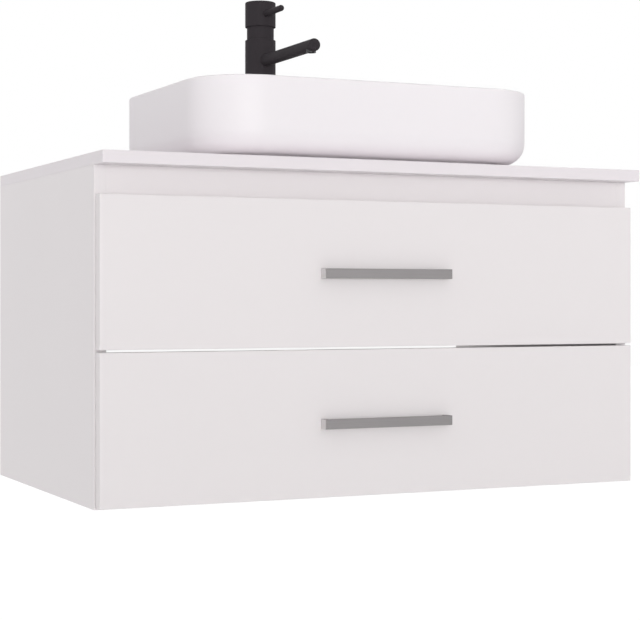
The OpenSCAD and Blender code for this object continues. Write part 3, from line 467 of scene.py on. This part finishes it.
def linked(name, data):
    """A new object of the scene that holds a mesh, curve, light or camera."""
    made = bpy.data.objects.new(name, data)
    bpy.context.scene.collection.objects.link(made)
    return made


def placed(name, mesh, node):
    """A smooth piece that rides on a node's body in place of that node, which is hidden."""
    mesh.shade_smooth()
    mesh.set_sharp_from_angle(angle=SMOOTH_ANGLE)
    piece = linked(name, mesh)
    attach(piece, BODY_OF[node])
    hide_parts(node)
    return piece


def carried(*nodes):
    """CAD nodes whose own shape shows, with their finish."""
    for node in nodes:
        held = frame["nodes"][node].data.materials
        held.clear()
        held.append(finish(SLOT_OF[node]))


def islands(bm):
    """The separate solids of a mesh, as lists of faces, in the same order on each run."""
    left = dict.fromkeys(bm.faces)
    while left:
        found, todo = [], [left.popitem()[0]]
        while todo:
            face = todo.pop()
            found.append(face)
            for edge in face.edges:
                for other in edge.link_faces:
                    if other in left:
                        del left[other]
                        todo.append(other)
        yield found


def corners_of(faces):
    """Lowest and highest corner of some faces."""
    points = [v.co for f in faces for v in f.verts]
    return [Vector([pick(p[i] for p in points) for i in range(3)]) for pick in (min, max)]


def whole_mesh(node):
    """A node's own mesh, with its loose triangles joined and its flat faces made whole."""
    bm = bmesh.new()
    bm.from_mesh(frame["nodes"][node].data)
    bmesh.ops.remove_doubles(bm, verts=bm.verts, dist=MERGE)
    bmesh.ops.dissolve_limit(bm, angle_limit=FLAT_ANGLE, verts=bm.verts, edges=bm.edges)
    bm.normal_update()
    return bm


def solids_of(node):
    """Each solid of a node: its corners' places, and the lowest, highest and middle one."""
    bm = whole_mesh(node)
    for solid in islands(bm):
        low, high = corners_of(solid)
        yield [v.co for f in solid for v in f.verts], low, high, (low + high) / 2
    bm.free()


def is_outer_rim(edge, corners):
    """Whether a short edge belongs to a rim that curves round its solid, not round a hole."""
    turn = Vector()
    for vert in edge.verts:
        ahead = [e for e in vert.link_edges if e is not edge and e in corners]
        if len(ahead) != 1:
            return False
        turn += (ahead[0].other_vert(vert).co - vert.co).normalized()
    lean = sum((f.normal for f in edge.link_faces), Vector())
    return turn.length > STRAIGHT and lean.dot(turn) < 0


def dressed(node, radius, least=12 * MM, bands=None, steps=3,
            kinds=("edge_band", "board_core")):
    """
    A copy of a CAD node with its edges rounded, save short ones that turn no outer rim. With
    bands, its outer faces across these axes get the first of kinds, and its bores the second.
    """
    bm = whole_mesh(node)
    weights = bm.edges.layers.float.new("bevel_weight_edge")
    corners = {e for e in bm.edges if len(e.link_faces) == 2 and e.is_convex
               and e.calc_face_angle(0.0) > ROUND_ANGLE}
    for edge in corners:
        if edge.calc_length() >= least or is_outer_rim(edge, corners):
            edge[weights] = 1.0
    if bands is not None:
        for solid in islands(bm):
            low, high = corners_of(solid)
            for face in solid:
                axis = max(range(3), key=lambda i: abs(face.normal[i]))
                at = face.calc_center_median()[axis]
                if min(at - low[axis], high[axis] - at) > BORE:
                    face.material_index = 2
                elif "XYZ"[axis] in bands:
                    face.material_index = 1
    mesh = bpy.data.meshes.new(node)
    bm.to_mesh(mesh)
    bm.free()
    stale = mesh.attributes.get("custom_normal")
    if stale:
        mesh.attributes.remove(stale)
    mesh.materials.append(finish(SLOT_OF[node]))
    if bands is not None:
        for kind in kinds:
            mesh.materials.append(finish(kind))
    piece = placed("dressed_" + node, mesh, node)
    bevel = piece.modifiers.new("rounded edges", "BEVEL")
    bevel.width = radius
    bevel.segments = steps
    bevel.limit_method = "WEIGHT"
    bevel.use_clamp_overlap = False
    bevel.harden_normals = True
    bevel.miter_outer = "MITER_ARC"


def dressed_all(forms):
    """Dresses each node with its radius and least rounded edge, both in mm, and its steps."""
    for node, (radius, least, steps) in forms.items():
        dressed(node, radius * MM, least * MM, steps=steps)


def filleted(corners, steps=6):
    """Points of a closed outline from its corners, each (x, y, radius)."""
    points = []
    for i, (x, y, radius) in enumerate(corners):
        here = Vector((x, y))
        if not radius:
            points.append(here)
            continue
        back = (Vector(corners[i - 1][:2]) - here).normalized()
        ahead = (Vector(corners[(i + 1) % len(corners)][:2]) - here).normalized()
        half = back.angle(ahead) / 2
        centre = here + (back + ahead).normalized() * radius / math.sin(half)
        start = here + back * radius / math.tan(half) - centre
        sweep = math.copysign(math.pi - 2 * half, -back.cross(ahead))
        for k in range(steps + 1):
            points.append(centre + Matrix.Rotation(sweep * k / steps, 2) @ start)
    return points


def turned(outline, sides=72):
    """Closed mesh of a (radius, height) outline turned round Z."""
    bm = bmesh.new()
    angles = [2 * math.pi * k / sides for k in range(sides)]
    rings = [[bm.verts.new((r * math.cos(a), r * math.sin(a), h)) for a in angles]
             for r, h in outline]
    for ring, after in zip(rings, rings[1:] + rings[:1]):
        for k in range(sides):
            bm.faces.new((ring[k], ring[k - 1], after[k - 1], after[k]))
    bmesh.ops.recalc_face_normals(bm, faces=bm.faces)
    mesh = bpy.data.meshes.new("turned")
    bm.to_mesh(mesh)
    bm.free()
    return mesh


def merged(meshes):
    """Several meshes of the same materials as one."""
    bm = bmesh.new()
    for mesh in meshes:
        bm.from_mesh(mesh)
    made = bpy.data.meshes.new("merged")
    bm.to_mesh(made)
    bm.free()
    for material in meshes[0].materials:
        made.materials.append(material)
    return made


def outwards(mesh):
    """A closed mesh with its doubles merged and every face pointing out."""
    bm = bmesh.new()
    bm.from_mesh(mesh)
    bmesh.ops.remove_doubles(bm, verts=bm.verts, dist=MERGE)
    bmesh.ops.recalc_face_normals(bm, faces=bm.faces)
    bm.to_mesh(mesh)
    bm.free()
    return mesh


# ---- Sizes and colours that a user would change ----

def length(name, description, default):
    return FloatProperty(name=name, description=description, default=default, unit="LENGTH",
                         precision=5)


def strength(name, light, default):
    return FloatProperty(name=name, description="Strength of the " + light, default=default,
                         min=0.0)


class BoardLook(PropertyGroup):
    """Edges of the boards"""
    panel_edge: length("Panel edge", "Radius of the cabinet boards' edges", 0.3 * MM)
    top_edge: length("Worktop edge", "Radius of the worktop's edges", 0.8 * MM)
    front_edge: length("Front edge", "Radius of the drawer fronts' edges", 0.9 * MM)
    box_edge: length("Drawer box edge", "Radius of the drawer boards' edges", 0.4 * MM)


class MetalLook(PropertyGroup):
    """Edges and small forms of the metal fittings"""
    handle_edge: length("Handle edge", "Radius of the handles' edges", 0.5 * MM)
    sheet_edge: length("Sheet edge", "Radius of the sheet fittings' edges", 0.35 * MM)
    recess_w: length("Recess width", "Width of the cross recess in a screw's head", 3.6 * MM)
    recess_d: length("Recess depth", "Depth of that recess", 0.9 * MM)
    thread_pitch: length("Thread pitch", "Distance between a screw thread's turns", 1.2 * MM)


class BasinLook(PropertyGroup):
    """Form of the basin, which follows its CAD node"""
    corner: length("Corner radius", "Radius of the corners, seen from above", 86 * MM)
    lower: length("Lower radius", "Radius of the lower edge", 30 * MM)
    wall: length("Wall", "Thickness of the wall", 12 * MM)
    inner: length("Inner radius", "Radius between the wall and the floor", 30 * MM)
    rim: length("Rim radius", "Radius of the rim's edges", 2.5 * MM)
    floor: length("Floor", "Thickness of the floor", 15 * MM)
    hollow: length("Hollow", "Height of the hollow under the basin", 5 * MM)
    foot_in: length("Foot inset", "How far the foot stands in from the side", 44 * MM)
    foot: length("Foot", "Width of the foot", 14 * MM)
    drain: length("Drain", "Radius of the hole for the waste", 23 * MM)
    corner_steps: IntProperty(name="Corner steps", description="Faces round each corner",
                              default=28, min=4)
    edge_steps: IntProperty(name="Edge steps", description="Faces round each edge",
                            default=14, min=2)


class StageLook(PropertyGroup):
    """Camera, light and floor"""
    camera: FloatVectorProperty(name="Camera", description="Place of the camera", subtype="XYZ",
                                unit="LENGTH", default=(-1.03215, -2.4807, -0.119))
    camera_turn: FloatProperty(name="Camera turn", description="Turn of the camera about Z",
                               unit="ROTATION", default=math.radians(-25.0887))
    lens: FloatProperty(name="Lens", description="Focal length in millimetres", default=94.3532,
                        min=10.0)
    shift: FloatProperty(name="Shift", description="Upward shift of the picture", default=-0.0186)
    sky: strength("Sky", "even light from all round", 0.5)
    front: strength("Front light", "low light from the front", 6.0)
    top: strength("Top light", "light from above", 0.32)
    left: strength("Left light", "light from the left", 0.72)
    right: strength("Right light", "light from the right", 0.5)
    floor_drop: length("Floor drop", "Distance of the floor below the cabinet", 0.45)
    floor_tone: FloatVectorProperty(name="Floor tone", description="Colour of the floor",
                                    subtype="COLOR", default=(0.9, 0.9, 0.9))


# ---- Operators: one for each group of like pieces ----

# The axes that each board's banded faces lie across
CABINET_BOARDS = {
    "side_panel_left": "YZ", "side_panel_right": "YZ", "bottom_panel": "XY", "front_rail": "XZ",
    "rear_rail_upper": "XZ", "rear_rail_lower": "XZ",
}
BOX_BOARDS = {
    "drawer_sides": "YZ", "drawer_ends": "XZ", "drawer_bottom": "XY",
}


class VANITY_OT_boards(Operator):
    """Cabinet boards and worktop, with rounded and banded edges"""
    bl_idname = "vanity.boards"
    bl_label = "Cabinet boards"

    def execute(self, context):
        look = context.scene.vanity_boards
        for node, bands in CABINET_BOARDS.items():
            dressed(node, look.panel_edge, bands=bands)
        dressed("worktop", look.top_edge, bands="XY", steps=4, kinds=("top_band", "board_core"))
        carried("dowels", "cam_bolts")
        return {"FINISHED"}


class VANITY_OT_drawers(Operator):
    """Drawer fronts and drawer boxes"""
    bl_idname = "vanity.drawers"
    bl_label = "Drawers"

    def execute(self, context):
        look = context.scene.vanity_boards
        for drawer in ("upper_", "lower_"):
            dressed(drawer + "drawer_front", look.front_edge, bands="", steps=4)
            for node, bands in BOX_BOARDS.items():
                dressed(drawer + node, look.box_edge, bands=bands)
        dressed("upper_drawer_recess", look.box_edge, bands="Z")
        return {"FINISHED"}


class VANITY_OT_handles(Operator):
    """Bar handles of the drawers"""
    bl_idname = "vanity.handles"
    bl_label = "Handles"

    def execute(self, context):
        look = context.scene.vanity_metal
        for node in ("upper_drawer_handle", "lower_drawer_handle"):
            # painted highlight: the bar's end faces take the lighter nickel
            dressed(node, look.handle_edge, least=3 * MM, bands="X",
                    kinds=("cut_nickel", "brushed_nickel"))
        return {"FINISHED"}


class VANITY_OT_runners(Operator):
    """Telescopic runners, three members at each side of each drawer"""
    bl_idname = "vanity.runners"
    bl_label = "Runners"

    def execute(self, context):
        look = context.scene.vanity_metal
        for node in ("cabinet_runners", "upper_middle_runners", "lower_middle_runners",
                     "upper_drawer_runners", "lower_drawer_runners"):
            dressed(node, look.sheet_edge, least=20 * MM, steps=2)
        return {"FINISHED"}


class VANITY_OT_hangers(Operator):
    """Wall hanging fittings and worktop brackets"""
    bl_idname = "vanity.hangers"
    bl_label = "Hangers"

    def execute(self, context):
        look = context.scene.vanity_metal
        for node in ("hanger_hooks", "wall_plates", "worktop_brackets"):
            dressed(node, look.sheet_edge, least=5 * MM, steps=2)
        dressed("hanger_housings", radius=1.2 * MM, least=15 * MM)
        return {"FINISHED"}


def screw_places(node):
    """Each screw of a node, keyed by its sizes: its seat, the way out of its head, and a side."""
    kinds = {}
    for points, low, high, middle in solids_of(node):
        axis = max(range(3), key=lambda i: high[i] - low[i])
        side = (axis + 1) % 3
        reach = {end: max(abs(p[side] - middle[side]) for p in points
                          if abs(p[axis] - end) < LEVEL) for end in (low[axis], high[axis])}
        tail, head = sorted(reach, key=reach.get)
        out, along = Vector(), Vector()
        out[axis] = math.copysign(1.0, head - tail)
        along[side] = 1.0
        head_h = min(abs(p[axis] - head) for p in points
                     if min(abs(p[axis] - head), abs(p[axis] - tail)) > LEVEL)
        seat = middle.copy()
        seat[axis] = head - out[axis] * head_h
        sizes = (high[axis] - low[axis] - head_h, reach[tail], reach[head], head_h)
        kinds.setdefault(tuple(round(v, 5) for v in sizes), []).append((seat, out, along))
    return kinds


def aimed(tree, instance):
    """Instances on the seed's points, with Z along out and X along along."""
    axes = [tree.node("GeometryNodeInputNamedAttribute", {"Name": name}, data_type="FLOAT_VECTOR")
            for name in ("out", "along")]
    turn = tree.node("FunctionNodeAxesToRotation", dict(enumerate(axes)), primary_axis="Z",
                     secondary_axis="X")
    return tree.node("GeometryNodeInstanceOnPoints",
                     {"Points": tree.seed, "Instance": instance, "Rotation": turn})


SLOT_SHARE = 0.28  # width of a cross's slots, as a share of its reach


def cross(tree, width, depth, z):
    """The two blocks that cut a cross recess from height z down."""
    slot = width * SLOT_SHARE
    return [tree.moved(tree.block(width, slot, depth * 2), z=z),
            tree.moved(tree.block(slot, width, depth * 2), z=z)]


HEAD_SIDES, SHANK_SIDES = 28, 14
CROWN_SHARE = 0.72  # radius of the head's flat top, as a share of its rim's
CORE_SHARE = 0.74  # radius of the shank below its thread, as a share of the thread's
POINT_SHARE = 1.8  # length of the point, as a share of the thread's radius
BARE_SHANK = 1.0 * MM  # shank without a thread, under the head
TURN_STEPS = 12  # faces in one turn of the thread


def screw_tree():
    """A screw with a domed head, a cross recess, a threaded shank and a point."""
    t = Growth("cross screw")
    shank, radius, head_r, head_h, recess, deep, pitch = t.ask(
        "Shank length", "Shank radius", "Head radius", "Head height", "Recess width",
        "Recess depth", "Thread pitch")
    core = radius * CORE_SHARE
    point = radius * POINT_SHARE
    rim = t.moved(t.cylinder(head_r, head_h * 0.5, HEAD_SIDES), z=head_h * 0.25)
    crown = t.moved(t.cone(head_r, head_r * CROWN_SHARE, head_h * 0.5, HEAD_SIDES),
                    z=head_h * 0.5)
    head = t.node("GeometryNodeMeshBoolean", {1: [rim, crown]}, operation="UNION", solver="EXACT")
    head = t.cut(head, *cross(t, recess, deep, head_h))
    stem = t.moved(t.cylinder(core, shank - point, SHANK_SIDES), z=(shank - point) * -0.5)
    tip = t.moved(t.cone(core, 0.0, point, SHANK_SIDES), z=point - shank, turn=(math.pi, 0.0, 0.0))
    run = shank - point - BARE_SHANK
    turns = run.math("DIVIDE", run, pitch)
    spiral = t.node("GeometryNodeCurveSpiral", {
        "Resolution": TURN_STEPS, "Rotations": turns, "Start Radius": core, "End Radius": core,
        "Height": run})
    ridge = t.circle(radius - core, 3)
    thread = t.moved(t.node("GeometryNodeCurveToMesh", {
        "Curve": spiral, "Profile Curve": ridge, "Fill Caps": True}), z=point - shank)
    return t.give(aimed(t, t.joined(head, stem, tip, thread)))


class VANITY_OT_screws(Operator):
    """Every screw, with its cross recess and thread"""
    bl_idname = "vanity.screws"
    bl_label = "Screws"

    def execute(self, context):
        look = context.scene.vanity_metal
        tree = screw_tree()
        for node in ("cabinet_screws", "upper_drawer_screws", "lower_drawer_screws"):
            parts = []
            for (shank, radius, head_r, head_h), places in screw_places(node).items():
                parts.append(grown(tree, seed_points(places), "zinc_steel", {
                    "Shank length": shank, "Shank radius": radius, "Head radius": head_r,
                    "Head height": head_h, "Recess width": look.recess_w,
                    "Recess depth": look.recess_d, "Thread pitch": look.thread_pitch}))
            placed("cross_" + node, merged(parts), node)
        return {"FINISHED"}


CAM_R = 7.45 * MM
CAM_SIDES = 48
CAM_SLOT = 7.2 * MM  # width and height of the slot for the bolt's head
CAM_PAST = 2 * MM  # how far its cut goes past the rim
CAM_MARK = 1.2 * MM  # width and twice the depth of the groove that points at the bolt
MARK_LONG, MARK_AT = 0.55, 0.78  # the groove's length and middle, in radii
CAM_CROSS, CROSS_SHARE = 2.4 * MM, 1.1  # depth of the cross recess, and its reach in radii


def cam_tree():
    """A cam disc: a slot for its bolt's head, a pointing groove and a cross recess."""
    t = Growth("cam disc")
    radius, depth, low, slot = t.ask("Radius", "Depth", "Low end", "Slot")
    top = low + depth
    disc = t.moved(t.cylinder(radius, depth, CAM_SIDES), z=low + depth * 0.5)
    bite = t.moved(t.block(radius + CAM_PAST, slot, slot), x=radius * 0.5)
    groove = t.moved(t.block(CAM_MARK, radius * MARK_LONG, CAM_MARK), x=radius * MARK_AT, z=top)
    disc = t.cut(disc, bite, groove, *cross(t, radius * CROSS_SHARE, CAM_CROSS, top))
    return t.give(aimed(t, disc))


class VANITY_OT_cams(Operator):
    """Cam discs that draw the boards together"""
    bl_idname = "vanity.cams"
    bl_label = "Cam discs"

    def execute(self, context):
        boards = [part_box(n) for n in ("bottom_panel", "front_rail", "rear_rail_lower",
                                      "rear_rail_upper")]
        places = []
        for _, low, high, middle in solids_of("cam_discs"):
            board = next(b for b in boards if all(b[0][i] < middle[i] < b[1][i] for i in range(3)))
            thin = min(range(3), key=lambda i: board[1][i] - board[0][i])
            centre = middle.copy()
            centre[thin] = (board[0][thin] + board[1][thin]) / 2
            out = Vector()
            out[thin] = math.copysign(1.0, middle[thin] - centre[thin])
            along = Vector((math.copysign(1.0, middle.x), 0.0, 0.0))
            places.append((centre, out, along))
            depth = high[thin] - low[thin]
            low_end = abs(middle[thin] - centre[thin]) - depth / 2
        mesh = grown(cam_tree(), seed_points(places), "zinc_steel", {
            "Radius": CAM_R, "Depth": depth, "Low end": low_end, "Slot": CAM_SLOT})
        placed("cross_cam_discs", mesh, "cam_discs")
        return {"FINISHED"}


DRAIN_SIDES = 96
WELD = 0.02 * MM  # corners of the basin's parts closer than this become one
SECTION_END = 6 * MM  # the wall's section stops this far short of the corners' radius
FOOT_EDGE = 1.5 * MM  # radius of the foot's edges


def basin_tree():
    """Sweep of the wall's section round a rounded oblong, closed by a floor with a drain."""
    t = Growth("basin sweep")
    width, depth, corner, floor, hollow, drain = t.ask(
        "Width", "Depth", "Corner radius", "Floor", "Hollow", "Drain radius")
    corner_steps, edge_steps = t.ask("Corner steps", "Edge steps", kind="Int")
    plan = t.node("GeometryNodeCurvePrimitiveQuadrilateral", {"Width": width, "Height": depth})
    plan = t.node("GeometryNodeFilletCurve",
                  {"Curve": plan, "Count": corner_steps, "Radius": corner}, mode="POLY")
    section = t.node("GeometryNodeFilletCurve", {
        "Curve": t.seed, "Count": edge_steps, "Radius": t.node("GeometryNodeInputRadius")},
        mode="POLY")
    shell = t.node("GeometryNodeCurveToMesh", {"Curve": plan, "Profile Curve": section})
    border = t.node("GeometryNodeInputMeshEdgeNeighbors") < 1.5
    height = t.node("ShaderNodeSeparateXYZ", {0: t.node("GeometryNodeInputPosition")}).out("Z")
    middle = (floor + hollow) * 0.5
    ring = t.circle(drain, DRAIN_SIDES)

    def closed(side, level):
        """The flat face between one end of the sweep and the drain."""
        edge = t.node("GeometryNodeMeshToCurve", {"Mesh": shell, "Selection": border * side})
        return t.moved(t.node("GeometryNodeFillCurve", {0: t.joined(edge, ring)}), z=level)

    pipe = t.moved(t.node("GeometryNodeMeshCylinder", {
        "Vertices": DRAIN_SIDES, "Radius": drain, "Depth": floor - hollow}, fill_type="NONE"),
        z=middle)
    whole = t.joined(shell, closed(height > middle, floor), closed(height < middle, hollow), pipe)
    whole = t.node("GeometryNodeMergeByDistance", {"Geometry": whole, "Distance": WELD})
    return t.give(whole)


class VANITY_OT_basin(Operator):
    """Vessel basin and its ring of sealant"""
    bl_idname = "vanity.basin"
    bl_label = "Basin"

    def execute(self, context):
        look = context.scene.vanity_basin
        low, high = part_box("basin")
        size = high - low
        inward = look.corner - SECTION_END
        foot = look.foot_in + look.foot
        section = [
            (inward, look.hollow, 0.0), (foot, look.hollow, FOOT_EDGE), (foot, 0.0, FOOT_EDGE),
            (look.foot_in, 0.0, FOOT_EDGE), (look.foot_in, look.hollow, FOOT_EDGE),
            (0.0, look.hollow, look.lower), (0.0, size.z, look.rim), (look.wall, size.z, look.rim),
            (look.wall, look.floor, look.inner), (inward, look.floor, 0.0),
        ]
        curve = bpy.data.curves.new("basin section", "CURVE")
        curve.dimensions = "3D"
        spline = curve.splines.new("POLY")
        spline.points.add(len(section) - 1)
        for point, (inset, height, radius) in zip(spline.points, section):
            point.co = (-inset, -height, 0.0, 1.0)
            point.radius = radius
        mesh = grown(basin_tree(), linked("basin section", curve), "white_glaze", {
            "Width": size.x, "Depth": size.y, "Corner radius": look.corner,
            "Corner steps": look.corner_steps, "Edge steps": look.edge_steps,
            "Floor": look.floor, "Hollow": look.hollow, "Drain radius": look.drain})
        middle = (low + high) / 2
        mesh.transform(Matrix.Translation((middle.x, middle.y, low.z)))
        placed("basin_glazed", outwards(mesh), "basin")
        carried("basin_seal")
        return {"FINISHED"}


WASTE = {
    "waste_body": (0.8, 40, 4), "waste_plug": (0.7, 40, 4), "waste_nut": (0.6, 6, 3),
    "waste_gaskets": (0.4, 40, 3),
}


class VANITY_OT_waste(Operator):
    """Push-open waste: flanged tube, gaskets, nut and plug"""
    bl_idname = "vanity.waste"
    bl_label = "Waste"

    def execute(self, context):
        dressed_all(WASTE)
        return {"FINISHED"}


PIPES = {
    "trap_body": (1.2, 60, 4), "trap_cup": (1.5, 60, 4), "trap_inlet_pipe": (0.5, 60, 3),
    "trap_outlet_pipe": (0.5, 60, 3),
}
NUT_WALL = 5 * MM  # from the mouth of a union nut to the tops of its ribs
NUT_FLOOR = 3 * MM
NUT_EDGES = (1.2 * MM, 0.8 * MM, 0.3 * MM)  # radii at the foot, at the top and in the mouth
NUT_CLEAR = 0.05 * MM  # how much wider its mouth is than the pipe's collar
RIB_COUNT = 26
RIB_WIDE = 1.6 * MM
RIB_PROUD = 0.7 * MM
RIB_SHORT = 5 * MM  # how much lower than its nut a rib is


def rib_tree():
    """Finger ribs round a nut."""
    t = Growth("nut ribs")
    [count] = t.ask("Count", kind="Int")
    radius, wide, proud, high, middle = t.ask("Radius", "Width", "Proud", "Height", "Middle")
    ring = t.circle(radius, count)
    outward = t.node("FunctionNodeAlignRotationToVector",
                     {"Vector": t.node("GeometryNodeInputPosition")}, axis="X", pivot_axis="Z")
    ribs = t.node("GeometryNodeInstanceOnPoints", {
        "Points": ring, "Instance": t.block(proud * 2, wide, high), "Rotation": outward})
    return t.give(t.joined(t.seed, t.moved(ribs, z=middle)))


def ribbed_nut(tree, mouth, through, long):
    """A union nut with its mouth at the top, standing on Z = 0."""
    skin = mouth + NUT_WALL - RIB_PROUD
    at_foot, at_top, in_mouth = NUT_EDGES
    shell = turned(filleted([
        (through, 0.0, 0.0), (skin, 0.0, at_foot), (skin, long, at_top), (mouth, long, in_mouth),
        (mouth, NUT_FLOOR, 0.0), (through, NUT_FLOOR, 0.0)]))
    return grown(tree, linked("nut", shell), "trap_plastic", {
        "Count": RIB_COUNT, "Radius": skin, "Width": RIB_WIDE, "Proud": RIB_PROUD,
        "Height": long - RIB_SHORT, "Middle": long / 2})


class VANITY_OT_trap(Operator):
    """Bottle trap with its pipes and union nuts"""
    bl_idname = "vanity.trap"
    bl_label = "Trap"

    def execute(self, context):
        dressed_all(PIPES)
        tree = rib_tree()
        parts = []
        for points, low, high, middle in solids_of("trap_nuts"):
            axis = 1 if high.y - low.y < high.x - low.x - LEVEL else 2
            long = high[axis] - low[axis]
            reach = [(p[axis], math.hypot(*[(p - middle)[i] for i in range(3) if i != axis]))
                     for p in points]
            mouth = max(r for _, r in reach) - NUT_WALL
            ends = {end: min(r for at, r in reach if abs(at - end) < LEVEL)
                    for end in (low[axis], high[axis])}
            floor_end = min(ends, key=ends.get)
            nut = ribbed_nut(tree, mouth + NUT_CLEAR, ends[floor_end], long)
            up = Vector()
            up[axis] = 1.0 if floor_end == low[axis] else -1.0
            foot = middle.copy()
            foot[axis] = floor_end
            turn = up.to_track_quat("Z", "Y").to_matrix().to_4x4()
            nut.transform(Matrix.Translation(foot) @ turn)
            parts.append(nut)
        placed("ribbed_trap_nuts", merged(parts), "trap_nuts")
        return {"FINISHED"}


SLEEVE_SIDES, HOLE_SIDES = 48, 8
SLEEVE_LIP = 1.5 * MM  # thickness of the sleeve round the sieve
SIEVE_IN = 2.5 * MM  # how far the sieve lies inside the sleeve
HOLE_R = 0.42 * MM
SIEVE_RINGS = {6: 0.3, 12: 0.56, 18: 0.82}  # holes of each ring: share of the sieve's radius
PIN_LONG, PIN_MIDDLE = 1.2, 0.4  # of the pins that cut the holes, in sleeve depths


def aerator_tree():
    """Perforated disc in a short sleeve."""
    t = Growth("aerator")
    radius, lip, depth, inside, hole = t.ask(
        "Radius", "Lip", "Depth", "Sieve depth", "Hole radius")
    body = t.moved(t.cylinder(radius, depth, SLEEVE_SIDES), z=depth * 0.5)
    mouth = t.cylinder(radius - lip, inside * 2, SLEEVE_SIDES)
    holes = []
    for count, share in SIEVE_RINGS.items():
        ring = t.circle((radius - lip) * share, count)
        pins = t.node("GeometryNodeInstanceOnPoints", {
            "Points": ring, "Instance": t.cylinder(hole, depth * PIN_LONG, HOLE_SIDES)})
        holes.append(t.node("GeometryNodeRealizeInstances",
                            {0: t.moved(pins, z=depth * PIN_MIDDLE)}))
    return t.give(t.cut(body, mouth, *holes))


TAP = {
    "tap_column": (0.6, 60, 4), "tap_spout": (0.4, 60, 3), "tap_base_ring": (1.0, 60, 4),
    "tap_clamp": (0.4, 3, 3), "tap_nut": (0.4, 5, 3),
}


class VANITY_OT_tap(Operator):
    """Tap: column, spout, aerator and what holds them to the worktop"""
    bl_idname = "vanity.tap"
    bl_label = "Tap"

    def execute(self, context):
        dressed_all(TAP)
        carried("tap_stud")
        low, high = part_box("aerator")
        mesh = grown(aerator_tree(), seed_points([]), "black_plastic", {
            "Radius": (high.x - low.x) / 2, "Lip": SLEEVE_LIP, "Depth": high.z - low.z,
            "Sieve depth": SIEVE_IN, "Hole radius": HOLE_R})
        mesh.transform(Matrix.Translation(((low.x + high.x) / 2, (low.y + high.y) / 2, low.z)))
        placed("sieved_aerator", outwards(mesh), "aerator")
        return {"FINISHED"}


LEVER = {
    "neck_cover": (0.4, 60, 3), "lever_cap": (0.5, 60, 4), "lever_pin": (0.3, 60, 3),
}


class VANITY_OT_lever(Operator):
    """Lever, its neck and the cartridge below it"""
    bl_idname = "vanity.lever"
    bl_label = "Lever"

    def execute(self, context):
        dressed_all(LEVER)
        carried("cartridge", "cartridge_nut", "cartridge_turret", "lever_stem", "lever_grub_screw")
        return {"FINISHED"}


# Azimuth, 0 at the front and positive to the right, height and spread of each light, in degrees
LIGHTS = {
    "front": (-15.0, -18.0, 56.0), "top": (-10.0, 65.0, 60.0), "left": (-80.0, 12.0, 60.0),
    "right": (55.0, 12.0, 60.0),
}
FLOOR_HALF = 12.0  # half the floor's width, past all that the camera sees


def broad_light(name, azimuth, height, spread, energy):
    """Even light from one side."""
    data = bpy.data.lights.new(name, "SUN")
    data.energy = energy
    data.angle = math.radians(spread)
    linked(name, data).rotation_euler = (math.radians(90 - height), 0.0, math.radians(azimuth))


class VANITY_OT_stage(Operator):
    """Camera, floor and soft studio light"""
    bl_idname = "vanity.stage"
    bl_label = "Stage"

    def execute(self, context):
        look = context.scene.vanity_stage
        scene = context.scene
        data = bpy.data.cameras.new("camera")
        data.lens = look.lens
        data.shift_y = look.shift
        camera = linked("camera", data)
        camera.location = look.camera
        camera.rotation_euler = (math.pi / 2, 0.0, look.camera_turn)
        scene.camera = camera
        scene.view_settings.view_transform = "Standard"

        level = CAD_BOX[0].z - look.floor_drop
        mesh = bpy.data.meshes.new("floor")
        mesh.from_pydata([(x * FLOOR_HALF, y * FLOOR_HALF, level)
                          for x, y in ((-1, -1), (1, -1), (1, 1), (-1, 1))], [], [(0, 1, 2, 3)])
        mesh.materials.append(painted_floor("floor_paint", tuple(look.floor_tone)))
        linked("floor", mesh)

        world = bpy.data.worlds.new("studio")
        world.use_nodes = True
        sky = Tree(world.node_tree)
        bright, white = [sky.node("ShaderNodeBackground", {
            "Color": (1.0, 1.0, 1.0, 1.0), "Strength": power}) for power in (look.sky, 1.0)]
        both = sky.node("ShaderNodeMixShader", {0: sky.seen(), 1: bright, 2: white})
        sky.node("ShaderNodeOutputWorld", {"Surface": both})
        scene.world = world

        for side, aim in LIGHTS.items():
            broad_light(side + " light", *aim, getattr(look, side))
        return {"FINISHED"}


MAKERS = (
    VANITY_OT_stage, VANITY_OT_boards, VANITY_OT_drawers, VANITY_OT_handles, VANITY_OT_runners,
    VANITY_OT_hangers, VANITY_OT_screws, VANITY_OT_cams, VANITY_OT_basin, VANITY_OT_waste,
    VANITY_OT_trap, VANITY_OT_tap, VANITY_OT_lever,
)
LOOKS = {"vanity_boards": BoardLook, "vanity_metal": MetalLook, "vanity_basin": BasinLook,
         "vanity_stage": StageLook}


class VANITY_PT_panel(Panel):
    """The vanity's sizes and makers"""
    bl_idname = "VANITY_PT_panel"
    bl_label = "Vanity"
    bl_space_type = "VIEW_3D"
    bl_region_type = "UI"
    bl_category = "Vanity"

    def draw(self, context):
        for maker in MAKERS:
            self.layout.operator(maker.bl_idname)
        for held, look in LOOKS.items():
            box = self.layout.box()
            box.label(text=look.__doc__)
            for name in look.__annotations__:
                box.prop(getattr(context.scene, held), name)


def register():
    for held, look in LOOKS.items():
        bpy.utils.register_class(look)
        setattr(bpy.types.Scene, held, PointerProperty(type=look))
    for maker in (*MAKERS, VANITY_PT_panel):
        bpy.utils.register_class(maker)


def unregister():
    for maker in (VANITY_PT_panel, *reversed(MAKERS)):
        bpy.utils.unregister_class(maker)
    for held, look in LOOKS.items():
        delattr(bpy.types.Scene, held)
        bpy.utils.unregister_class(look)


def main():
    register()
    for maker in MAKERS:
        group, name = maker.bl_idname.split(".")
        getattr(getattr(bpy.ops, group), name)()


if __name__ == "__main__":
    main()
